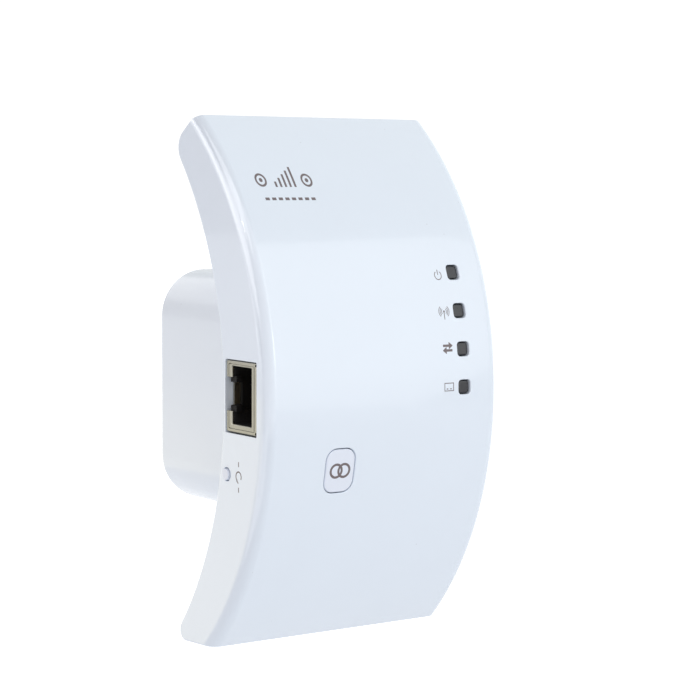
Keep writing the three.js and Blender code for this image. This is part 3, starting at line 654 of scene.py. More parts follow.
MATERIALS = {
    "shell_white": surface(
        "gloss_white_plastic", linear(228, 237, 248), 0.16, relief=0.0004, grain=1.2, tone=0.012,
        edge_wear_and_shade=1.02, uneven=0.03, pattern=dust, Coat_Weight=0.6, Coat_Roughness=0.03,
    ),
    "rear_white": surface(
        "satin_white_plastic", linear(230, 237, 245), 0.22, relief=0.001, tone=0.012, edge_wear_and_shade=1.03,
        uneven=0.04, pattern=dust,
    ),
    "button_white": surface(
        "gloss_white_button", linear(229, 235, 247), 0.14, relief=0.0006, grain=1.2, tone=0.01,
        edge_wear_and_shade=1.03, uneven=0.03,
    ),
    "print_grey": surface(
        "printed_grey_ink", linear(112, 102, 104), 0.5, grain=0.15, relief=0.001, tone=0.1, patch=2,
    ),
    # Its edge factor below 1 darkens the window edges and creases: painted shade, not wear.
    "window_smoked": surface(
        "smoked_window", linear(30, 31, 37), 0.35, tone=0.2, patch=0.4, grain=0.3, uneven=0.08,
        edge_wear_and_shade=0.7, Coat_Weight=0.2,
    ),
    "jack_nickel": surface(
        "jack_nickel_plate", linear(137, 135, 126), 0.34, 1.0, tone=0.06, patch=3, grain=0.25,
        stretch=(1, 6, 1), relief=0.002, edge_wear_and_shade=1.15,
    ),
    "jack_plastic": surface(
        "jack_black_plastic", linear(22, 21, 22), 0.6, tone=0.15, patch=2, Specular_IOR_Level=0.1,
    ),
    "contact_gold": surface(
        "contact_gold_plate", linear(226, 188, 104), 0.22, 1.0, tone=0.05, patch=2, grain=0.2,
    ),
    "blade_metal": surface(
        "blade_nickel_brass", linear(206, 203, 196), 0.28, 1.0, tone=0.05, patch=5, grain=0.2,
        stretch=(1, 0.08, 1), relief=0.0015, edge_wear_and_shade=1.12,
    ),
    "screw_steel": surface(
        "screw_zinc_steel", linear(178, 180, 184), 0.34, 1.0, tone=0.08, patch=1.5, grain=0.2,
        edge_wear_and_shade=1.2,
    ),
    "board_green": surface(
        "board_green_mask", linear(38, 98, 62), 0.3, tone=0.08, patch=6, grain=0.3, uneven=0.08,
        pattern=traces,
    ),
    "board_tan": surface("board_tan_paper", linear(186, 150, 96), 0.55, tone=0.1, patch=4, grain=0.2),
    "chip_black": surface("chip_black_epoxy", linear(38, 38, 40), 0.6, tone=0.12, patch=2, grain=0.08),
    "can_steel": surface(
        "can_tinned_steel", linear(190, 192, 194), 0.36, 1.0, tone=0.07, patch=4, grain=0.3, edge_wear_and_shade=1.12,
    ),
    "ferrite": surface("ferrite_grey", linear(58, 58, 62), 0.68, tone=0.15, patch=2, grain=0.1),
    "winding_tape": surface(
        "winding_yellow_tape", linear(222, 184, 62), 0.4, tone=0.06, patch=3, pattern=windings,
    ),
    "sleeve_black": surface("sleeve_black_film", linear(40, 42, 48), 0.3, tone=0.1, patch=3, edge_wear_and_shade=1.5),
    "disc_blue": surface("disc_blue_lacquer", linear(52, 104, 176), 0.3, tone=0.1, patch=2),
    "led_clear": surface("led_clear_lens", linear(244, 240, 214), 0.2, tone=0.06, patch=0.5),
    "sheet_clear": surface("sheet_milky_film", linear(218, 221, 218), 0.42, tone=0.05, patch=6),
    "lead_red": surface("lead_red_sleeve", linear(184, 48, 40), 0.42, tone=0.08, patch=2, grain=0.2),
    "lead_black": surface("lead_black_sleeve", linear(38, 38, 40), 0.42, tone=0.12, patch=2, grain=0.2),
    "resistor_green": surface("resistor_green_cement", linear(104, 140, 108), 0.6, tone=0.1, patch=1),
}


# ---------------- casing


def screw_seat(z):
    """Where the head of a case screw rests."""
    return rear_y(z) - SCREW.drive


def mirrored_slices(section, half_width, distances, middle=()):
    """A closed mesh through section(distance from a side plane), the same on both sides."""
    left = [(distance - half_width, distance) for distance in distances]
    right = [(-x, distance) for x, distance in left[::-1]]
    slices = [*left, *((x, distances[-1]) for x in middle), *right]
    return loft([[(x, y, z) for y, z in section(distance)] for x, distance in slices])


def strip_body():
    """The strip as a solid, with large round front edges and a small round on all the others."""

    def section(distance):
        return strip_section(round_inset(distance, EDGE_ROUND), round_inset(distance, RIM_ROUND))

    distances = sorted({*round_distances(EDGE_ROUND, 14), *round_distances(RIM_ROUND, 4)})
    return mirrored_slices(section, HALF_WIDTH, distances, np.linspace(-20, 20, 5))


def cavity_section(inset):
    """The cavity's outline across X: its front moved in by inset, its ends by the wall."""
    front = FRONT_RADIUS - inset
    bottom = end_meets(BOTTOM_END, WALL, FRONT_CENTRE_Y, front)
    top = end_meets(TOP_END, WALL, FRONT_CENTRE_Y, front)
    ends = []
    for end in (TOP_END, BOTTOM_END):
        along, _, point = end_line(end, WALL)
        ends.append(tuple(point + along * ((CAVITY_END_Y - point.x) / along.x)))
    return [tuple(bottom), *arc_between(FRONT_CENTRE_Y, bottom, top, 60), tuple(top), *ends]


def cavity():
    """The space inside the front shell's walls, open to the rear."""
    inner = EDGE_ROUND - WALL
    return mirrored_slices(
        lambda distance: cavity_section(WALL + round_inset(distance, inner)),
        HALF_WIDTH - WALL,
        round_distances(inner, 5),
    )


def outline_of(opening, corner_steps=6):
    """The outline of a window or button in the front."""
    x, z, width, height = opening.x, opening.z, opening.width, opening.height
    return rounded_rect(x, z, width, height, opening.round, corner_steps)


def front_shell_holes():
    profile = hole_profile(FRONT_HOLE_RIM, WALL + OVERRUN)
    holes = [plug(outline_of(opening), profile, on_front) for opening in (*WINDOWS, WPS)]
    jack_y = (JACK_LOW.y - SLIP, JACK_HIGH.y + SLIP)
    jack_z = (JACK_LOW.z - SLIP, JACK_HIGH.z + SLIP)
    jack = rect_between(jack_y, jack_z, JACK_HOLE.corner, 6)
    holes.append(plug(jack, hole_profile(JACK_HOLE.rim, SIDE_HOLE_DEPTH), on_left))
    reset = disc(RESET.y, RESET.z, RESET.radius)
    holes.append(plug(reset, hole_profile(RESET.rim, SIDE_HOLE_DEPTH), on_left))
    return holes


def front_shell_post(x, z):
    """A hollow post behind the front wall that takes a case screw."""
    end = screw_seat(z) - BOSS.web
    start = front_y(abs(z) + POST.radius) + POST.sunk
    post = rod_y(x, z, POST.radius, start, end - SLIP)
    bore = rod_y(x, z, SCREW.shank + SEAM, end - POST.bore, end + OVERRUN)
    return cut(post, [bore])


def front_shell():
    shell = cut(strip_body(), [cavity()])
    cut(shell, front_shell_holes())
    joined(shell, [front_shell_post(x, z) for x, z in CASE_SCREWS])
    finish_piece(shell, "front_shell", "shell_white", skins=SHELL_SKINS)


def plate_section(inset, rim):
    """The rear wall's outline across X, between the rear arc and the same arc moved forward."""
    radius = REAR_RADIUS + WALL
    top = end_meets(TOP_END, inset, REAR_CENTRE_Y, radius)
    bottom = end_meets(BOTTOM_END, inset, REAR_CENTRE_Y, radius)
    top_rear = rear_corner(TOP_END, inset, rim, 10)
    bottom_rear = rear_corner(BOTTOM_END, inset, rim, 8)[::-1]
    return [
        tuple(bottom),
        *arc_between(REAR_CENTRE_Y, bottom, top, 60),
        tuple(top),
        *top_rear,
        *arc_between(REAR_CENTRE_Y, top_rear[-1], bottom_rear[0], 90),
        *bottom_rear,
    ]


def rear_plate():
    """The curved rear wall, a seam's width inside the front shell's walls."""
    gap = WALL + SEAM

    def section(distance):
        rim = round_inset(distance, RIM_ROUND)
        return plate_section(gap + rim, rim)

    distances = round_distances(RIM_ROUND, 4)
    return mirrored_slices(section, HALF_WIDTH - gap, distances, (-18, 0, 18))


def behind_rear(inset):
    """Everything behind the rear arc moved forward by inset."""
    start = (rear_y(-REAR_REACH, inset), -REAR_REACH)
    end = (rear_y(REAR_REACH, inset), REAR_REACH)
    arc = arc_between(REAR_CENTRE_Y, start, end, 120)
    section = [start, *arc, end, (REAR_CENTRE_Y, REAR_REACH), (REAR_CENTRE_Y, -REAR_REACH)]
    return loft([[(x, y, z) for y, z in section] for x in (-HALF_WIDTH, HALF_WIDTH)])


def block_outline(inset, corner_steps, side_steps=4):
    """The plug block's outline, moved in by inset."""
    width, height, corner = BLOCK.width, BLOCK.height, BLOCK.corner
    return rounded_rect(
        0, 0, width - 2 * inset, height - 2 * inset, corner - inset, corner_steps, side_steps
    )


def plug_block():
    profile = peg_profile(BLOCK.edge, BLOCK.depth, BLOCK.crown, steps=10)
    block = plug(block_outline(0, 16, 6), profile, on_plug_face)
    return combine(block, [behind_rear(WALL / 2)], "INTERSECT")


def hollows():
    """Cutters for the inside of the plug block and for the main board."""
    profile = [(0, BLOCK.face), (0, BLOCK.hollow)]
    inside = plug(block_outline(WALL, 12), profile, on_plug_face)
    relief = box(
        (BOARD_LOW.x - SEAM, BOARD_HIGH.x + SEAM),
        (BOARD_RELIEF_Y, BOARD_HIGH.y + SLIP),
        (BOARD_LOW.z - SEAM, BOARD_HIGH.z + SEAM),
    )
    return [inside, relief]


def rear_bosses():
    """Posts that reach forward from the rear wall and the plug face to each screw."""
    bosses = []
    for x, z in CASE_SCREWS:
        start = screw_seat(z) - BOSS.web
        bosses.append(rod_y(x, z, BOSS.radius, start, rear_y(z) - BOSS.sunk))
    radius = BOARD_POST.radius
    for x, z in BOARD_SCREWS:
        end = rear_y(abs(z) - radius) - BOSS.sunk
        bosses.append(rod_y(x, z, radius, BOARD_HIGH.y + BOARD_POST.gap, end))
    radius = POWER_POST.radius
    for x, z in POWER_SCREWS:
        start = POWER_HIGH.y + POWER_POST.gap
        bosses.append(rod_y(x, z, radius, start, -BOSS.sunk))
    return bosses


def vent_slots():
    slots = []
    profile = hole_profile(HOLE_RIM, 2 * WALL)
    for z in (VENT.z, -VENT.z):
        for index in range(VENT.count):
            x = (index - (VENT.count - 1) / 2) * VENT.pitch
            width = VENT.width
            outline = rounded_rect(x, z, width, VENT.length, width / 2 - 0.01, 8)
            slots.append(plug(outline, profile, on_rear))
    return slots


def case_screw_bores(x, z):
    """Cutters for a screw's counterbore, down to a flat seat, and for its shank."""
    seat = screw_seat(z)
    outline = disc(x, z, SCREW.head + SEAM)
    loops = []
    for offset, depth in hole_profile(HOLE_RIM, SCREW.rim_depth):
        loops.append([on_rear(a, b, depth) for a, b in outline(offset)])
    loops.append([(a, seat, b) for a, b in outline(0)])
    shank = SCREW.shank + SEAM
    through = rod_y(x, z, shank, seat - 2 * BOSS.web, seat + OVERRUN)
    return [loft(loops), through]


def board_screw_bores():
    bores = []
    for board_y, screws in ((BOARD_LOW.y, BOARD_SCREWS), (POWER_LOW.y, POWER_SCREWS)):
        for x, z in screws:
            start, end = board_y - OVERRUN, board_y + BOARD_BORE.depth
            bores.append(rod_y(x, z, BOARD_BORE.radius, start, end))
    return bores


def carrier_outline(inset=0.0):
    width, height, corner = CARRIER.width, CARRIER.height, CARRIER.corner
    return rounded_rect(0, 0, width - 2 * inset, height - 2 * inset, corner - inset, 8)


def carrier_seat():
    """Cutters for the recess and the opening that hold the plug carrier."""
    recess = hole_profile(HOLE_RIM, CARRIER.flange)
    through = [(0, -OVERRUN), (0, 2 * BLOCK.face)]
    return [
        plug(carrier_outline(), recess, on_plug_face),
        plug(carrier_outline(CARRIER.ledge), through, on_plug_face),
    ]


def side_reliefs():
    """Cutters that clear the jack and the reset button's switch."""
    relief_z = (JACK_LOW.z - JACK_HOLE.relief, JACK_HIGH.z + JACK_HOLE.relief)
    jack_x = (SIDE_CLEAR_X, JACK_HIGH.x + OVERRUN)
    reset_x = (SIDE_CLEAR_X, RESET_RELIEF.end_x)
    reset_y = (FRONT_CLEAR_Y, RESET.y + RESET_RELIEF.behind)
    half = RESET_RELIEF.half_z
    return [
        box(jack_x, (FRONT_CLEAR_Y, JACK_HIGH.y + SLIP), relief_z),
        box(reset_x, reset_y, (RESET.z - half, RESET.z + half)),
    ]


def rear_shell():
    shell = joined(rear_plate(), [plug_block()])
    cut(shell, hollows())
    joined(shell, rear_bosses())
    cutters = vent_slots()
    for x, z in CASE_SCREWS:
        cutters.extend(case_screw_bores(x, z))
    cutters.extend([*board_screw_bores(), *carrier_seat(), *side_reliefs()])
    cut(shell, cutters)
    finish_piece(shell, "rear_shell", "rear_white", skins=(rear_skin,))


def plug_carrier():
    """The insert in the plug face, with a slot for each blade."""
    profile = peg_profile(HOLE_RIM, CARRIER.flange - SLIP, CARRIER.crown, SLIP)
    plate = plug(carrier_outline(), profile, on_plug_face)
    root = [(-SLIP, CARRIER.root), (-SLIP, CARRIER.inner)]
    joined(plate, [plug(carrier_outline(CARRIER.ledge), root, on_plug_face)])
    profile = hole_profile(BLADE.edge, CARRIER.inner + OVERRUN)
    thickness, width = BLADE.thickness + 2 * SLIP, BLADE.width + 2 * SLIP
    slots = []
    for side in (-1, 1):
        x = side * BLADE.spacing / 2
        outline = rounded_rect(x, 0, thickness, width, BLADE.edge)
        slots.append(plug(outline, profile, on_plug_face))
    cut(plate, slots)
    finish_piece(plate, "plug_carrier", "rear_white")


def blade(name, side):
    """A flat blade with a round tip, slightly blunted edges and a hole with a chamfer."""
    x = side * BLADE.spacing / 2
    length = BLADE.length - BLADE.root
    middle = (BLADE.length + BLADE.root) / 2
    outline = rounded_rect(middle, 0, length, BLADE.width, BLADE.tip, 3)
    half = BLADE.thickness / 2
    edge = BLADE.edge
    blunt = edge * 0.3
    front_half = [(-edge, -half), (-blunt, -half + blunt), (0, -half + edge)]
    profile = [*front_half, *((offset, -depth) for offset, depth in front_half[::-1])]

    body = plug(outline, profile, past_x(x))
    chamfer = [(edge, -half - OVERRUN), (edge, -half), (0, -half + edge)]
    profile = [*chamfer, *((offset, -depth) for offset, depth in chamfer[::-1])]
    hole = disc(BLADE.hole_y, 0, BLADE.hole_radius)
    cut(body, [plug(hole, profile, past_x(x))])
    finish_piece(body, name, "blade_metal")


# ---------------- buttons and lights


def wps_button():
    """A cap level with the front, with a wider flange behind it and a stem to its switch."""
    outline = outline_of(WPS, 8)
    profile = peg_profile(CAP.edge, CAP.depth, CAP.crown, SLIP)
    cap = plug(outline, profile, on_front)
    flange_front, flange_back = CAP.flange_y
    grow = CAP.flange
    flange = plug(outline, [(grow, flange_front), (grow, flange_back)], along_y)
    _, high = cad_box_mm("wps_button")
    stem = rod_y(WPS.x, WPS.z, CAP.stem_radius, flange_front, high.y)
    joined(cap, [flange, stem])
    finish_piece(cap, "wps_button", "button_white", "wps_button", (front_skin,))


def reset_button():
    """A round stem that stands a little out of the left side, with a square flange."""
    low, high = cad_box_mm("reset_button")
    y, z = RESET.y, RESET.z
    radius = RESET.radius - RESET.gap
    profile = peg_profile(RESET.edge, high.x - low.x, radius - RESET.inner_radius)
    stem = plug(disc(y, z, radius), profile, past_x(low.x))
    half_y, half_z = RESET_FLANGE.half_y, RESET_FLANGE.half_z
    flange = box(RESET_FLANGE.x, (y - half_y, y + half_y), (z - half_z, z + half_z))
    joined(stem, [flange])
    finish_piece(stem, "reset_button", "button_white", "reset_button")


def light_pipe():
    """A bar behind the front with one post for each status window."""
    bar_y = PIPE_BAR.y
    bar = box(PIPE_BAR.x, bar_y, PIPE_BAR.z)
    profile = peg_profile(PIPE.edge, PIPE.depth, PIPE.crown, SLIP, PIPE.recess)
    posts = []
    for window in WINDOWS:
        outline = outline_of(window)
        loops = [[on_front(a, b, depth) for a, b in outline(offset)] for offset, depth in profile]
        loops.append([(a, bar_y[0] + PIPE.sunk, b) for a, b in outline(-SLIP)])
        posts.append(loft(loops))
    joined(bar, posts)
    finish_piece(bar, "light_pipe", "window_smoked")


# ---------------- ethernet jack


def frame_grooves():
    """Cutters for the folded sheet's thin seams around the frame, and two small nicks."""
    low, high = JACK_LOW, JACK_HIGH
    groove_y = (low.y + GROOVE.from_y, high.y - GROOVE.from_y)
    groove_z = (low.z + GROOVE.from_low_z, high.z - GROOVE.from_high_z)
    groove_x = (low.x - OVERRUN, low.x + GROOVE.depth)
    width = GROOVE.half_width
    cutters = [box(groove_x, (y - width, y + width), groove_z) for y in groove_y]
    cutters.extend(box(groove_x, groove_y, (z - width, z + width)) for z in groove_z)
    for z in (low.z + NICK.from_z, high.z - NICK.from_z):
        outline = disc(low.y + NICK.from_y, z, NICK.radius, 12)
        cutters.append(plug(outline, [(0, -OVERRUN), (0, NICK.depth)], past_x(low.x)))
    return cutters


def jack_shield():
    """The folded sheet-metal can, whose front is the frame seen in the left side."""
    low, high = JACK_LOW, JACK_HIGH
    place = past_x(low.x)
    length = high.x - low.x
    outer = rect_between((low.y, high.y), (low.z, high.z), SHIELD.corner)
    edge = [(-offset, depth) for offset, depth in rounding(SHIELD.edge, 0, 5)]
    can = plug(outer, [*edge, (0, length)], place)
    sheet = SHIELD.sheet
    inside = plug(outer, [(-sheet, sheet), (-sheet, length + OVERRUN)], place)
    mouth = rect_between(MOUTH.y, MOUTH.z, SHIELD.mouth_corner)
    profile = hole_profile(SHIELD.mouth_rim, OVERRUN)
    notch_x = (low.x - OVERRUN, low.x + LATCH.notch)
    notch = box(notch_x, (MOUTH.y[1] - OVERRUN, high.y + OVERRUN), LATCH.z)
    cut(can, [inside, plug(mouth, profile, place), notch])
    cut(can, frame_grooves())
    finish_piece(can, "ethernet_jack_shield", "jack_nickel")


def contact_comb():
    """Cutters for the eight slots that the contacts lie in."""
    cutters = []
    comb_y = (MOUTH.y[0] - COMB.below, MOUTH.y[0] + COMB.above)
    for index in range(CONTACTS):
        low, high = cad_box_mm(f"ethernet_contact_{index + 1}")
        comb_z = (low.z - COMB.side, high.z + COMB.side)
        cutters.append(box((COMB.start_x, MOUTH.end_x), comb_y, comb_z))
    return cutters


def jack_housing():
    """The black plastic body, with the mouth, the latch channel and its two shoulders."""
    low, high = cad_box_mm("ethernet_jack_housing")
    place = past_x(low.x)
    outer = rect_between((low.y, high.y), (low.z, high.z), HOUSING.corner)
    edge, rim = HOUSING.edge, HOUSING.mouth_rim
    body = plug(outer, [(-edge, 0), (0, edge), (0, high.x - low.x)], place)
    profile = [(rim, -OVERRUN), (rim, 0), (0, HOUSING.mouth_bevel), (0, MOUTH.end_x - low.x)]
    mouth = plug(rect_between(MOUTH.y, MOUTH.z, edge), profile, place)
    start_x = low.x - OVERRUN
    start_y = MOUTH.y[1] - OVERRUN
    latch = box((start_x, LATCH.end_x), (start_y, LATCH.wall_y), LATCH.z)
    near, far = LATCH.z
    shoulder = LATCH.shoulder
    notch_x = (start_x, low.x + LATCH.mouth)
    notch_z = (near + shoulder, far - shoulder)
    notch = box(notch_x, (start_y, high.y + OVERRUN), notch_z)
    cut(body, [mouth, latch, notch, *contact_comb()])
    shoulder_x = (low.x, low.x + LATCH.shoulder_depth)
    grip = LATCH.grip
    shoulders = []
    for shoulder_z in ((near - grip, near + shoulder), (far - shoulder, far + grip)):
        shoulders.append(box(shoulder_x, LATCH.shoulder_y, shoulder_z))
    joined(body, shoulders)
    finish_piece(body, "ethernet_jack_housing", "jack_plastic")


# ---------------- screws


def case_screw(name, x, z):
    """A pan-head screw with a cross recess; its head faces the rear."""
    seat = screw_seat(z)
    top = seat + SCREW.head_height
    head, shank, length = SCREW.head, SCREW.shank, SCREW.length
    profile = []
    for angle in np.radians(np.linspace(6, 90, 9)):
        height = top - SCREW.crown * (1 - math.cos(angle))
        profile.append((head * math.sin(angle) - head, height))
    profile.extend([(0, seat), (shank - head, seat)])
    y = seat
    while y > seat - length + THREAD.plain:
        profile.append((shank - head, y - THREAD.crest))
        profile.append((shank - THREAD.depth - head, y - THREAD.root))
        y -= THREAD.pitch
    profile.append((shank - THREAD.tip - head, y - THREAD.end))
    profile.append((SCREW.point - head, seat - length))
    screw = plug(disc(x, z, head, 36), profile, along_y)
    flare, bottom = RECESS.flare, top - RECESS.depth
    recess = [(flare, top + OVERRUN), (flare, top), (-RECESS.taper, bottom)]
    arms = []
    for width, height in ((RECESS.width, RECESS.length), (RECESS.length, RECESS.width)):
        outline = rounded_rect(x, z, width, height, RECESS.corner, 3, 1)
        arms.append(plug(outline, recess, along_y))
    cut(screw, arms)
    finish_piece(screw, name, "screw_steel")


# ---------------- printed marks

INK_STEP = 0.3
SHARPEST_BEND = 0.5
SIGNAL = Sizes(x=-15.85, z=43.4)
RESET_MARK = Sizes(y=-4.6, width=0.3)
ICON_X = 16.0
ICON_LINE = 0.17


def resampled(points, step, closed):
    """Points along a path no further apart than step."""
    result = []
    count = len(points)
    last = count if closed else count - 1
    for index in range(last):
        start, end = Vector(points[index]), Vector(points[(index + 1) % count])
        pieces = max(int(math.ceil((end - start).length / step)), 1)
        result.extend(start.lerp(end, i / pieces) for i in range(pieces))
    if not closed:
        result.append(Vector(points[-1]))
    return result


def stroke_mesh(points, width, place, closed=False):
    """Vertices and faces of a thin raised line of this width along a path on a surface."""
    path = resampled(points, INK_STEP, closed)
    count = len(path)
    vertices = []
    for index, point in enumerate(path):
        before = path[index - 1] if closed or index else point
        after = path[(index + 1) % count] if closed or index < count - 1 else point
        along = (after - before).normalized()
        across = Vector((-along.y, along.x)) * width / 2
        first, second = (point - before), (after - point)
        if first.length and second.length:
            across = across / max(SHARPEST_BEND, math.cos(first.angle(second) / 2))
        for side, depth in ((1, -INK_PROUD), (-1, -INK_PROUD), (-1, INK_DEPTH), (1, INK_DEPTH)):
            spot = point + across * side
            vertices.append(place(spot.x, spot.y, depth))
    faces = []
    for index in range(count if closed else count - 1):
        low, high = 4 * index, 4 * ((index + 1) % count)
        faces.extend((low + i, low + (i + 1) % 4, high + (i + 1) % 4, high + i) for i in range(4))
    if not closed:
        faces.extend([(0, 1, 2, 3), tuple(4 * (count - 1) + i for i in (3, 2, 1, 0))])
    return vertices, faces


def printed(name, strokes, place, body="casing"):
    """A printed mark: each stroke is (points, width, closed)."""
    vertices, faces = [], []
    for points, width, closed in strokes:
        more, shapes = stroke_mesh(points, width, place, closed)
        faces.extend(tuple(i + len(vertices) for i in face) for face in shapes)
        vertices.extend(more)
    finish_piece(new_object(vertices, faces, name), None, "print_grey", body)


def ring(a, b, radius, width, steps=28):
    return (ring_points(a, b, radius, steps), width, True)


def arc(a, b, radius, start, end, width):
    points = circle_points((a, b), radius, math.radians(start), math.radians(end), 12)
    return (points, width, False)


def line(start, end, width):
    return ([start, end], width, False)


def dot(a, b, radius):
    return ring(a, b, radius / 2, radius, 14)


def signal_mark():
    """Rising bars between two rings, over a row of short dashes."""
    x, z = SIGNAL.x, SIGNAL.z
    strokes = []
    for index in range(5):
        a = x + (index - 2) * 1.15
        strokes.append(line((a, z), (a, z + 1.1 + 0.75 * index), 0.5))
    for side in (-1, 1):
        a, b = x + side * 5.6, z + 1.4
        strokes.extend([ring(a, b, 1.15, 0.42), dot(a, b, 0.42)])
    for index in range(8):
        a, b = x + (index - 3.5) * 1.6, z - 2.4
        strokes.append(line((a - 0.5, b), (a + 0.5, b), 0.55))
    printed("front_mark", strokes, on_front)


def pair_mark():
    """Two interlocking rings on the pairing button."""
    strokes = [ring(WPS.x + side * 0.95, WPS.z, 1.35, 0.5) for side in (-1, 1)]
    printed("wps_button_mark", strokes, on_front, "wps_button")


def power_icon(z):
    """An open ring with a stroke through its gap."""
    circle = arc(ICON_X, z, 0.88, 125, 415, ICON_LINE)
    return [circle, line((ICON_X, z + 0.1), (ICON_X, z + 1.2), ICON_LINE)]


def antenna_icon(z):
    """A mast with three waves on either side of its tip."""
    tip = z + 0.3
    strokes = [line((ICON_X, tip - 1.65), (ICON_X, tip - 0.1), ICON_LINE), dot(ICON_X, tip, 0.22)]
    for radius in (0.65, 1.0, 1.35):
        for middle in (0, 180):
            strokes.append(arc(ICON_X, tip, radius, middle - 48, middle + 48, ICON_LINE * 0.8))
    return strokes


def transfer_icon(z):
    """Two opposite arrows, each with a head made of ever shorter strokes."""
    neck, head_steps = 0.4, 5
    strokes = []
    for side in (-1, 1):
        b = z + side * 0.5
        strokes.append(line((ICON_X - side * 1.2, b), (ICON_X + side * neck, b), 0.5))
        for step in range(head_steps):
            a = ICON_X + side * (neck + step * 0.19)
            half = 0.7 * (1 - step / head_steps)
            strokes.append(line((a, b - half), (a, b + half), 0.2))
    return strokes


def monitor_icon(z):
    """A screen's outline with two short marks in it."""
    corners = ((-1, -1), (1, -1), (1, 1), (-1, 1))
    outline = [(ICON_X + a * 1.15, z + b * 0.8) for a, b in corners]
    strokes = [(outline, ICON_LINE, True)]
    for side in (-1, 1):
        a, b = ICON_X + side * 0.45, z - 0.4
        strokes.append(line((a - 0.2, b), (a + 0.2, b), 0.22))
    return strokes


# Each status light's icon, and how far above the middle of its window it is drawn.
ICONS = ((power_icon, -0.55), (antenna_icon, -0.35), (transfer_icon, 0.35), (monitor_icon, 0.2))


def reset_mark():
    """A turning arrow and two ticks beside the reset button."""
    y, z, width = RESET.y + RESET_MARK.y, RESET.z, RESET_MARK.width
    strokes = [
        arc(y, z, 1.0, -60, 210, width),
        line((y + 0.1, z - 1.35), (y + 0.75, z - 0.85), width),
        line((y, z + 2.0), (y, z + 3.0), width),
        line((y, z - 2.2), (y, z - 3.2), width),
    ]
    printed("reset_mark", strokes, on_left)


def printed_marks():
    signal_mark()
    pair_mark()
    reset_mark()
    for index, ((icon, rise), window) in enumerate(zip(ICONS, WINDOWS)):
        printed(f"status_icon_{index + 1}", icon(window.z + rise), on_front)


# ---------------- carried-over CAD nodes

# The starts of the names of the CAD nodes that stay, by slot. The first match counts.
CARRIED_OVER = {
    "screw_steel": ("board_screw_", "power_board_screw_"),
    "contact_gold": ("ethernet_contact_",),
    "board_green": ("main_board", "antenna_upper", "antenna_lower"),
    "board_tan": ("power_board",),
    "chip_black": ("wifi_chip", "flash_chip", "ethernet_transformer", "bridge_rectifier"),
    "can_steel": ("rf_shield", "crystal", "reset_switch_body"),
    "jack_plastic": ("wps_switch_", "reset_switch_plunger"),
    "led_clear": ("status_led_",),
    "ferrite": ("transformer_core",),
    "winding_tape": ("transformer_winding",),
    "sleeve_black": ("input_capacitor_", "output_capacitor"),
    "disc_blue": ("y_capacitor",),
    "resistor_green": ("fuse_resistor",),
    "sheet_clear": ("insulation_sheet",),
    "lead_red": ("dc_lead_positive",),
    "lead_black": ("dc_lead_negative", "antenna_cable_"),
}


def dress_cad_nodes():
    """Gives each CAD node that stays its own finish."""
    for name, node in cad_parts.items():
        if node.hide_render:
            continue
        slot = next(slot for slot, starts in CARRIED_OVER.items() if name.startswith(starts))
        node.data.materials.clear()
        node.data.materials.append(MATERIALS[slot])


# ---------------- stage, light and camera

CAMERA = Sizes(
    place=(-249.19, -394.69, 45.42), yaw=34.936, pitch=4.754, roll=0.2685,
    lens=106.75, sensor=36.0,
)
FLOOR_Z = -0.16
FLOOR_REACH = 6.0
# The floor's own light grows from the plug face's plane to this strength, this far behind it.
FLOOR_GLOW = 0.5
FLOOR_GLOW_Y = 0.4
BACKDROP = 1.1
ROOM_LIGHT = 0.81
ROOM_SLOPE = (0.15, 0.0, 0.03)
ROOM_TINT = (0.09, 0.15, 0.135)
SOFTBOX_DISTANCE = 1.0
NEAR_DISTANCE = 0.36
WHITE = (1.0, 1.0, 1.0)


def stage():
    """A pale floor that glows brighter behind the object."""
    reach = FLOOR_REACH
    corners = ((-reach, -reach), (reach, -reach), (reach, reach), (-reach, reach))
    mesh = bpy.data.meshes.new("floor")
    mesh.from_pydata([(x, y, FLOOR_Z) for x, y in corners], [], [(0, 1, 2, 3)])
    floor = bpy.data.objects.new("floor", mesh)
    scene.collection.objects.link(floor)
    material, tree, shader = new_material("pale_floor")
    shader.inputs["Base Color"].default_value = linear(250, 250, 252)
    shader.inputs["Roughness"].default_value = 0.9
    shader.inputs["Specular IOR Level"].default_value = 0.0
    shader.inputs["Emission Color"].default_value = (*WHITE, 1.0)
    spot = add_node(tree, "SeparateXYZ", {"Vector": object_place(tree)})
    glow = remap(tree, spot.outputs["Y"], 0.0, FLOOR_GLOW, 0.0, FLOOR_GLOW_Y)
    tree.links.new(glow, shader.inputs["Emission Strength"])
    mesh.materials.append(material)


def softbox(
    name, azimuth, elevation, width, height, radiance,
    gloss_only=True, distance=SOFTBOX_DISTANCE, roll=0.0, color=WHITE,
):
    """An area light that faces the object, azimuth 0 being the front and -90 the left side."""
    turn, rise = math.radians(azimuth), math.radians(elevation)
    level = math.cos(rise)
    toward = Vector((math.sin(turn) * level, -math.cos(turn) * level, math.sin(rise)))
    data = bpy.data.lights.new(name, "AREA")
    data.shape = "RECTANGLE"
    data.size = width
    data.size_y = height
    data.energy = radiance * math.pi * width * height
    data.color = color
    light = bpy.data.objects.new(name, data)
    light.location = toward * distance
    facing = toward.to_track_quat("Z", "Y") @ Quaternion((0, 0, 1), math.radians(roll))
    light.rotation_euler = facing.to_euler()
    light.visible_camera = False
    light.visible_diffuse = not gloss_only
    scene.collection.objects.link(light)


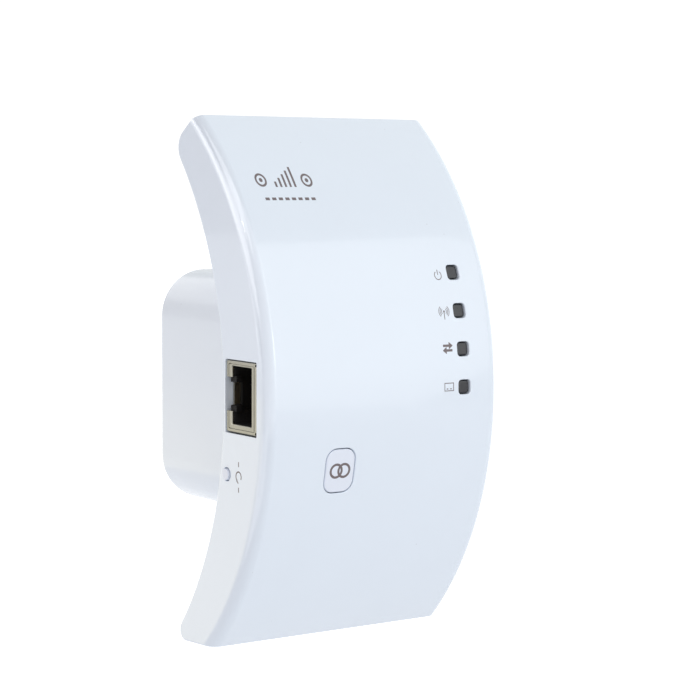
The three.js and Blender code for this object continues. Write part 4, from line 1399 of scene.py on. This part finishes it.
def room():
    """A pale room, brighter and cooler on the right, that the camera sees as plain white."""
    world = bpy.data.worlds.new("studio")
    world.use_nodes = True
    tree = world.node_tree
    background = tree.nodes["Background"]
    toward = add_node(tree, "TexCoord", {}).outputs["Generated"]
    side = add_node(tree, "SeparateXYZ", {"Vector": toward})
    inputs = {0: side.outputs["X"], 1: ROOM_TINT, 2: WHITE}
    tint = add_node(tree, "VectorMath", inputs, operation="MULTIPLY_ADD")
    inputs = {0: toward, 1: ROOM_SLOPE}
    slope = add_node(tree, "VectorMath", inputs, operation="DOT_PRODUCT")
    inputs = {0: slope.outputs["Value"], 1: ROOM_LIGHT}
    strength = add_node(tree, "Math", inputs, operation="ADD")
    in_view = add_node(tree, "LightPath", {}).outputs["Is Camera Ray"]
    inputs = {0: in_view, 2: strength.outputs["Value"], 3: BACKDROP}
    seen = add_node(tree, "Mix", inputs)
    tree.links.new(seen.outputs[0], background.inputs["Strength"])
    color = mix(tree, in_view, tint.outputs["Vector"], (*WHITE, 1.0))
    tree.links.new(color, background.inputs["Color"])
    scene.world = world


def lights():
    """One large softbox, and panels and lamps that show only as reflections."""
    softbox("softbox_front", 27, 18, 0.51, 0.9, 0.97, gloss_only=False, roll=-11)
    softbox("panel_left", -121, 12, 0.8, 0.56, 1.3)
    softbox("panel_high", -105, 22, 0.9, 0.5, 2.7)
    softbox("panel_top", -62, 52, 0.7, 0.5, 2.1)
    softbox("panel_corner", -76, -24, 0.3, 0.14, 1.2, distance=0.3)
    softbox("panel_behind", -165, 30, 0.9, 0.45, 1.0)
    softbox(
        "panel_low", -145, -15, 1.0, 0.11, 0.55, distance=NEAR_DISTANCE, color=(1.0, 0.9, 0.45)
    )
    softbox("panel_front_left", -33, 15, 1.8, 1.2, 1.1, distance=0.6)
    softbox("lamp_front", 22, 11, 0.14, 0.18, 3.0)
    softbox("lamp_left", -69, 36, 0.05, 0.09, 14)


def camera():
    """A long lens in front and to the left, a little above the middle."""
    yaw, pitch, roll = (math.radians(v) for v in (CAMERA.yaw, CAMERA.pitch, CAMERA.roll))
    level = math.cos(pitch)
    ahead = Vector((math.sin(yaw) * level, math.cos(yaw) * level, -math.sin(pitch)))
    across = Vector((math.cos(yaw), -math.sin(yaw), 0))
    upright = across.cross(ahead)
    right = math.cos(roll) * across + math.sin(roll) * upright
    up = math.cos(roll) * upright - math.sin(roll) * across
    data = bpy.data.cameras.new("camera")
    data.lens = CAMERA.lens
    data.sensor_width = CAMERA.sensor
    view = bpy.data.objects.new("camera", data)
    matrix = Matrix((right, up, -ahead)).transposed().to_4x4()
    matrix.translation = Vector(CAMERA.place) * MM
    view.matrix_world = matrix
    scene.collection.objects.link(view)
    scene.camera = view


# ---------------- assembly

front_shell()
rear_shell()
plug_carrier()
blade("blade_live", 1)
blade("blade_neutral", -1)
wps_button()
reset_button()
light_pipe()
jack_shield()
jack_housing()
for index, (x, z) in enumerate(CASE_SCREWS):
    case_screw(f"case_screw_{index + 1}", x, z)
printed_marks()
dress_cad_nodes()

stage()
room()
lights()
camera()
scene.view_settings.view_transform = "Standard"
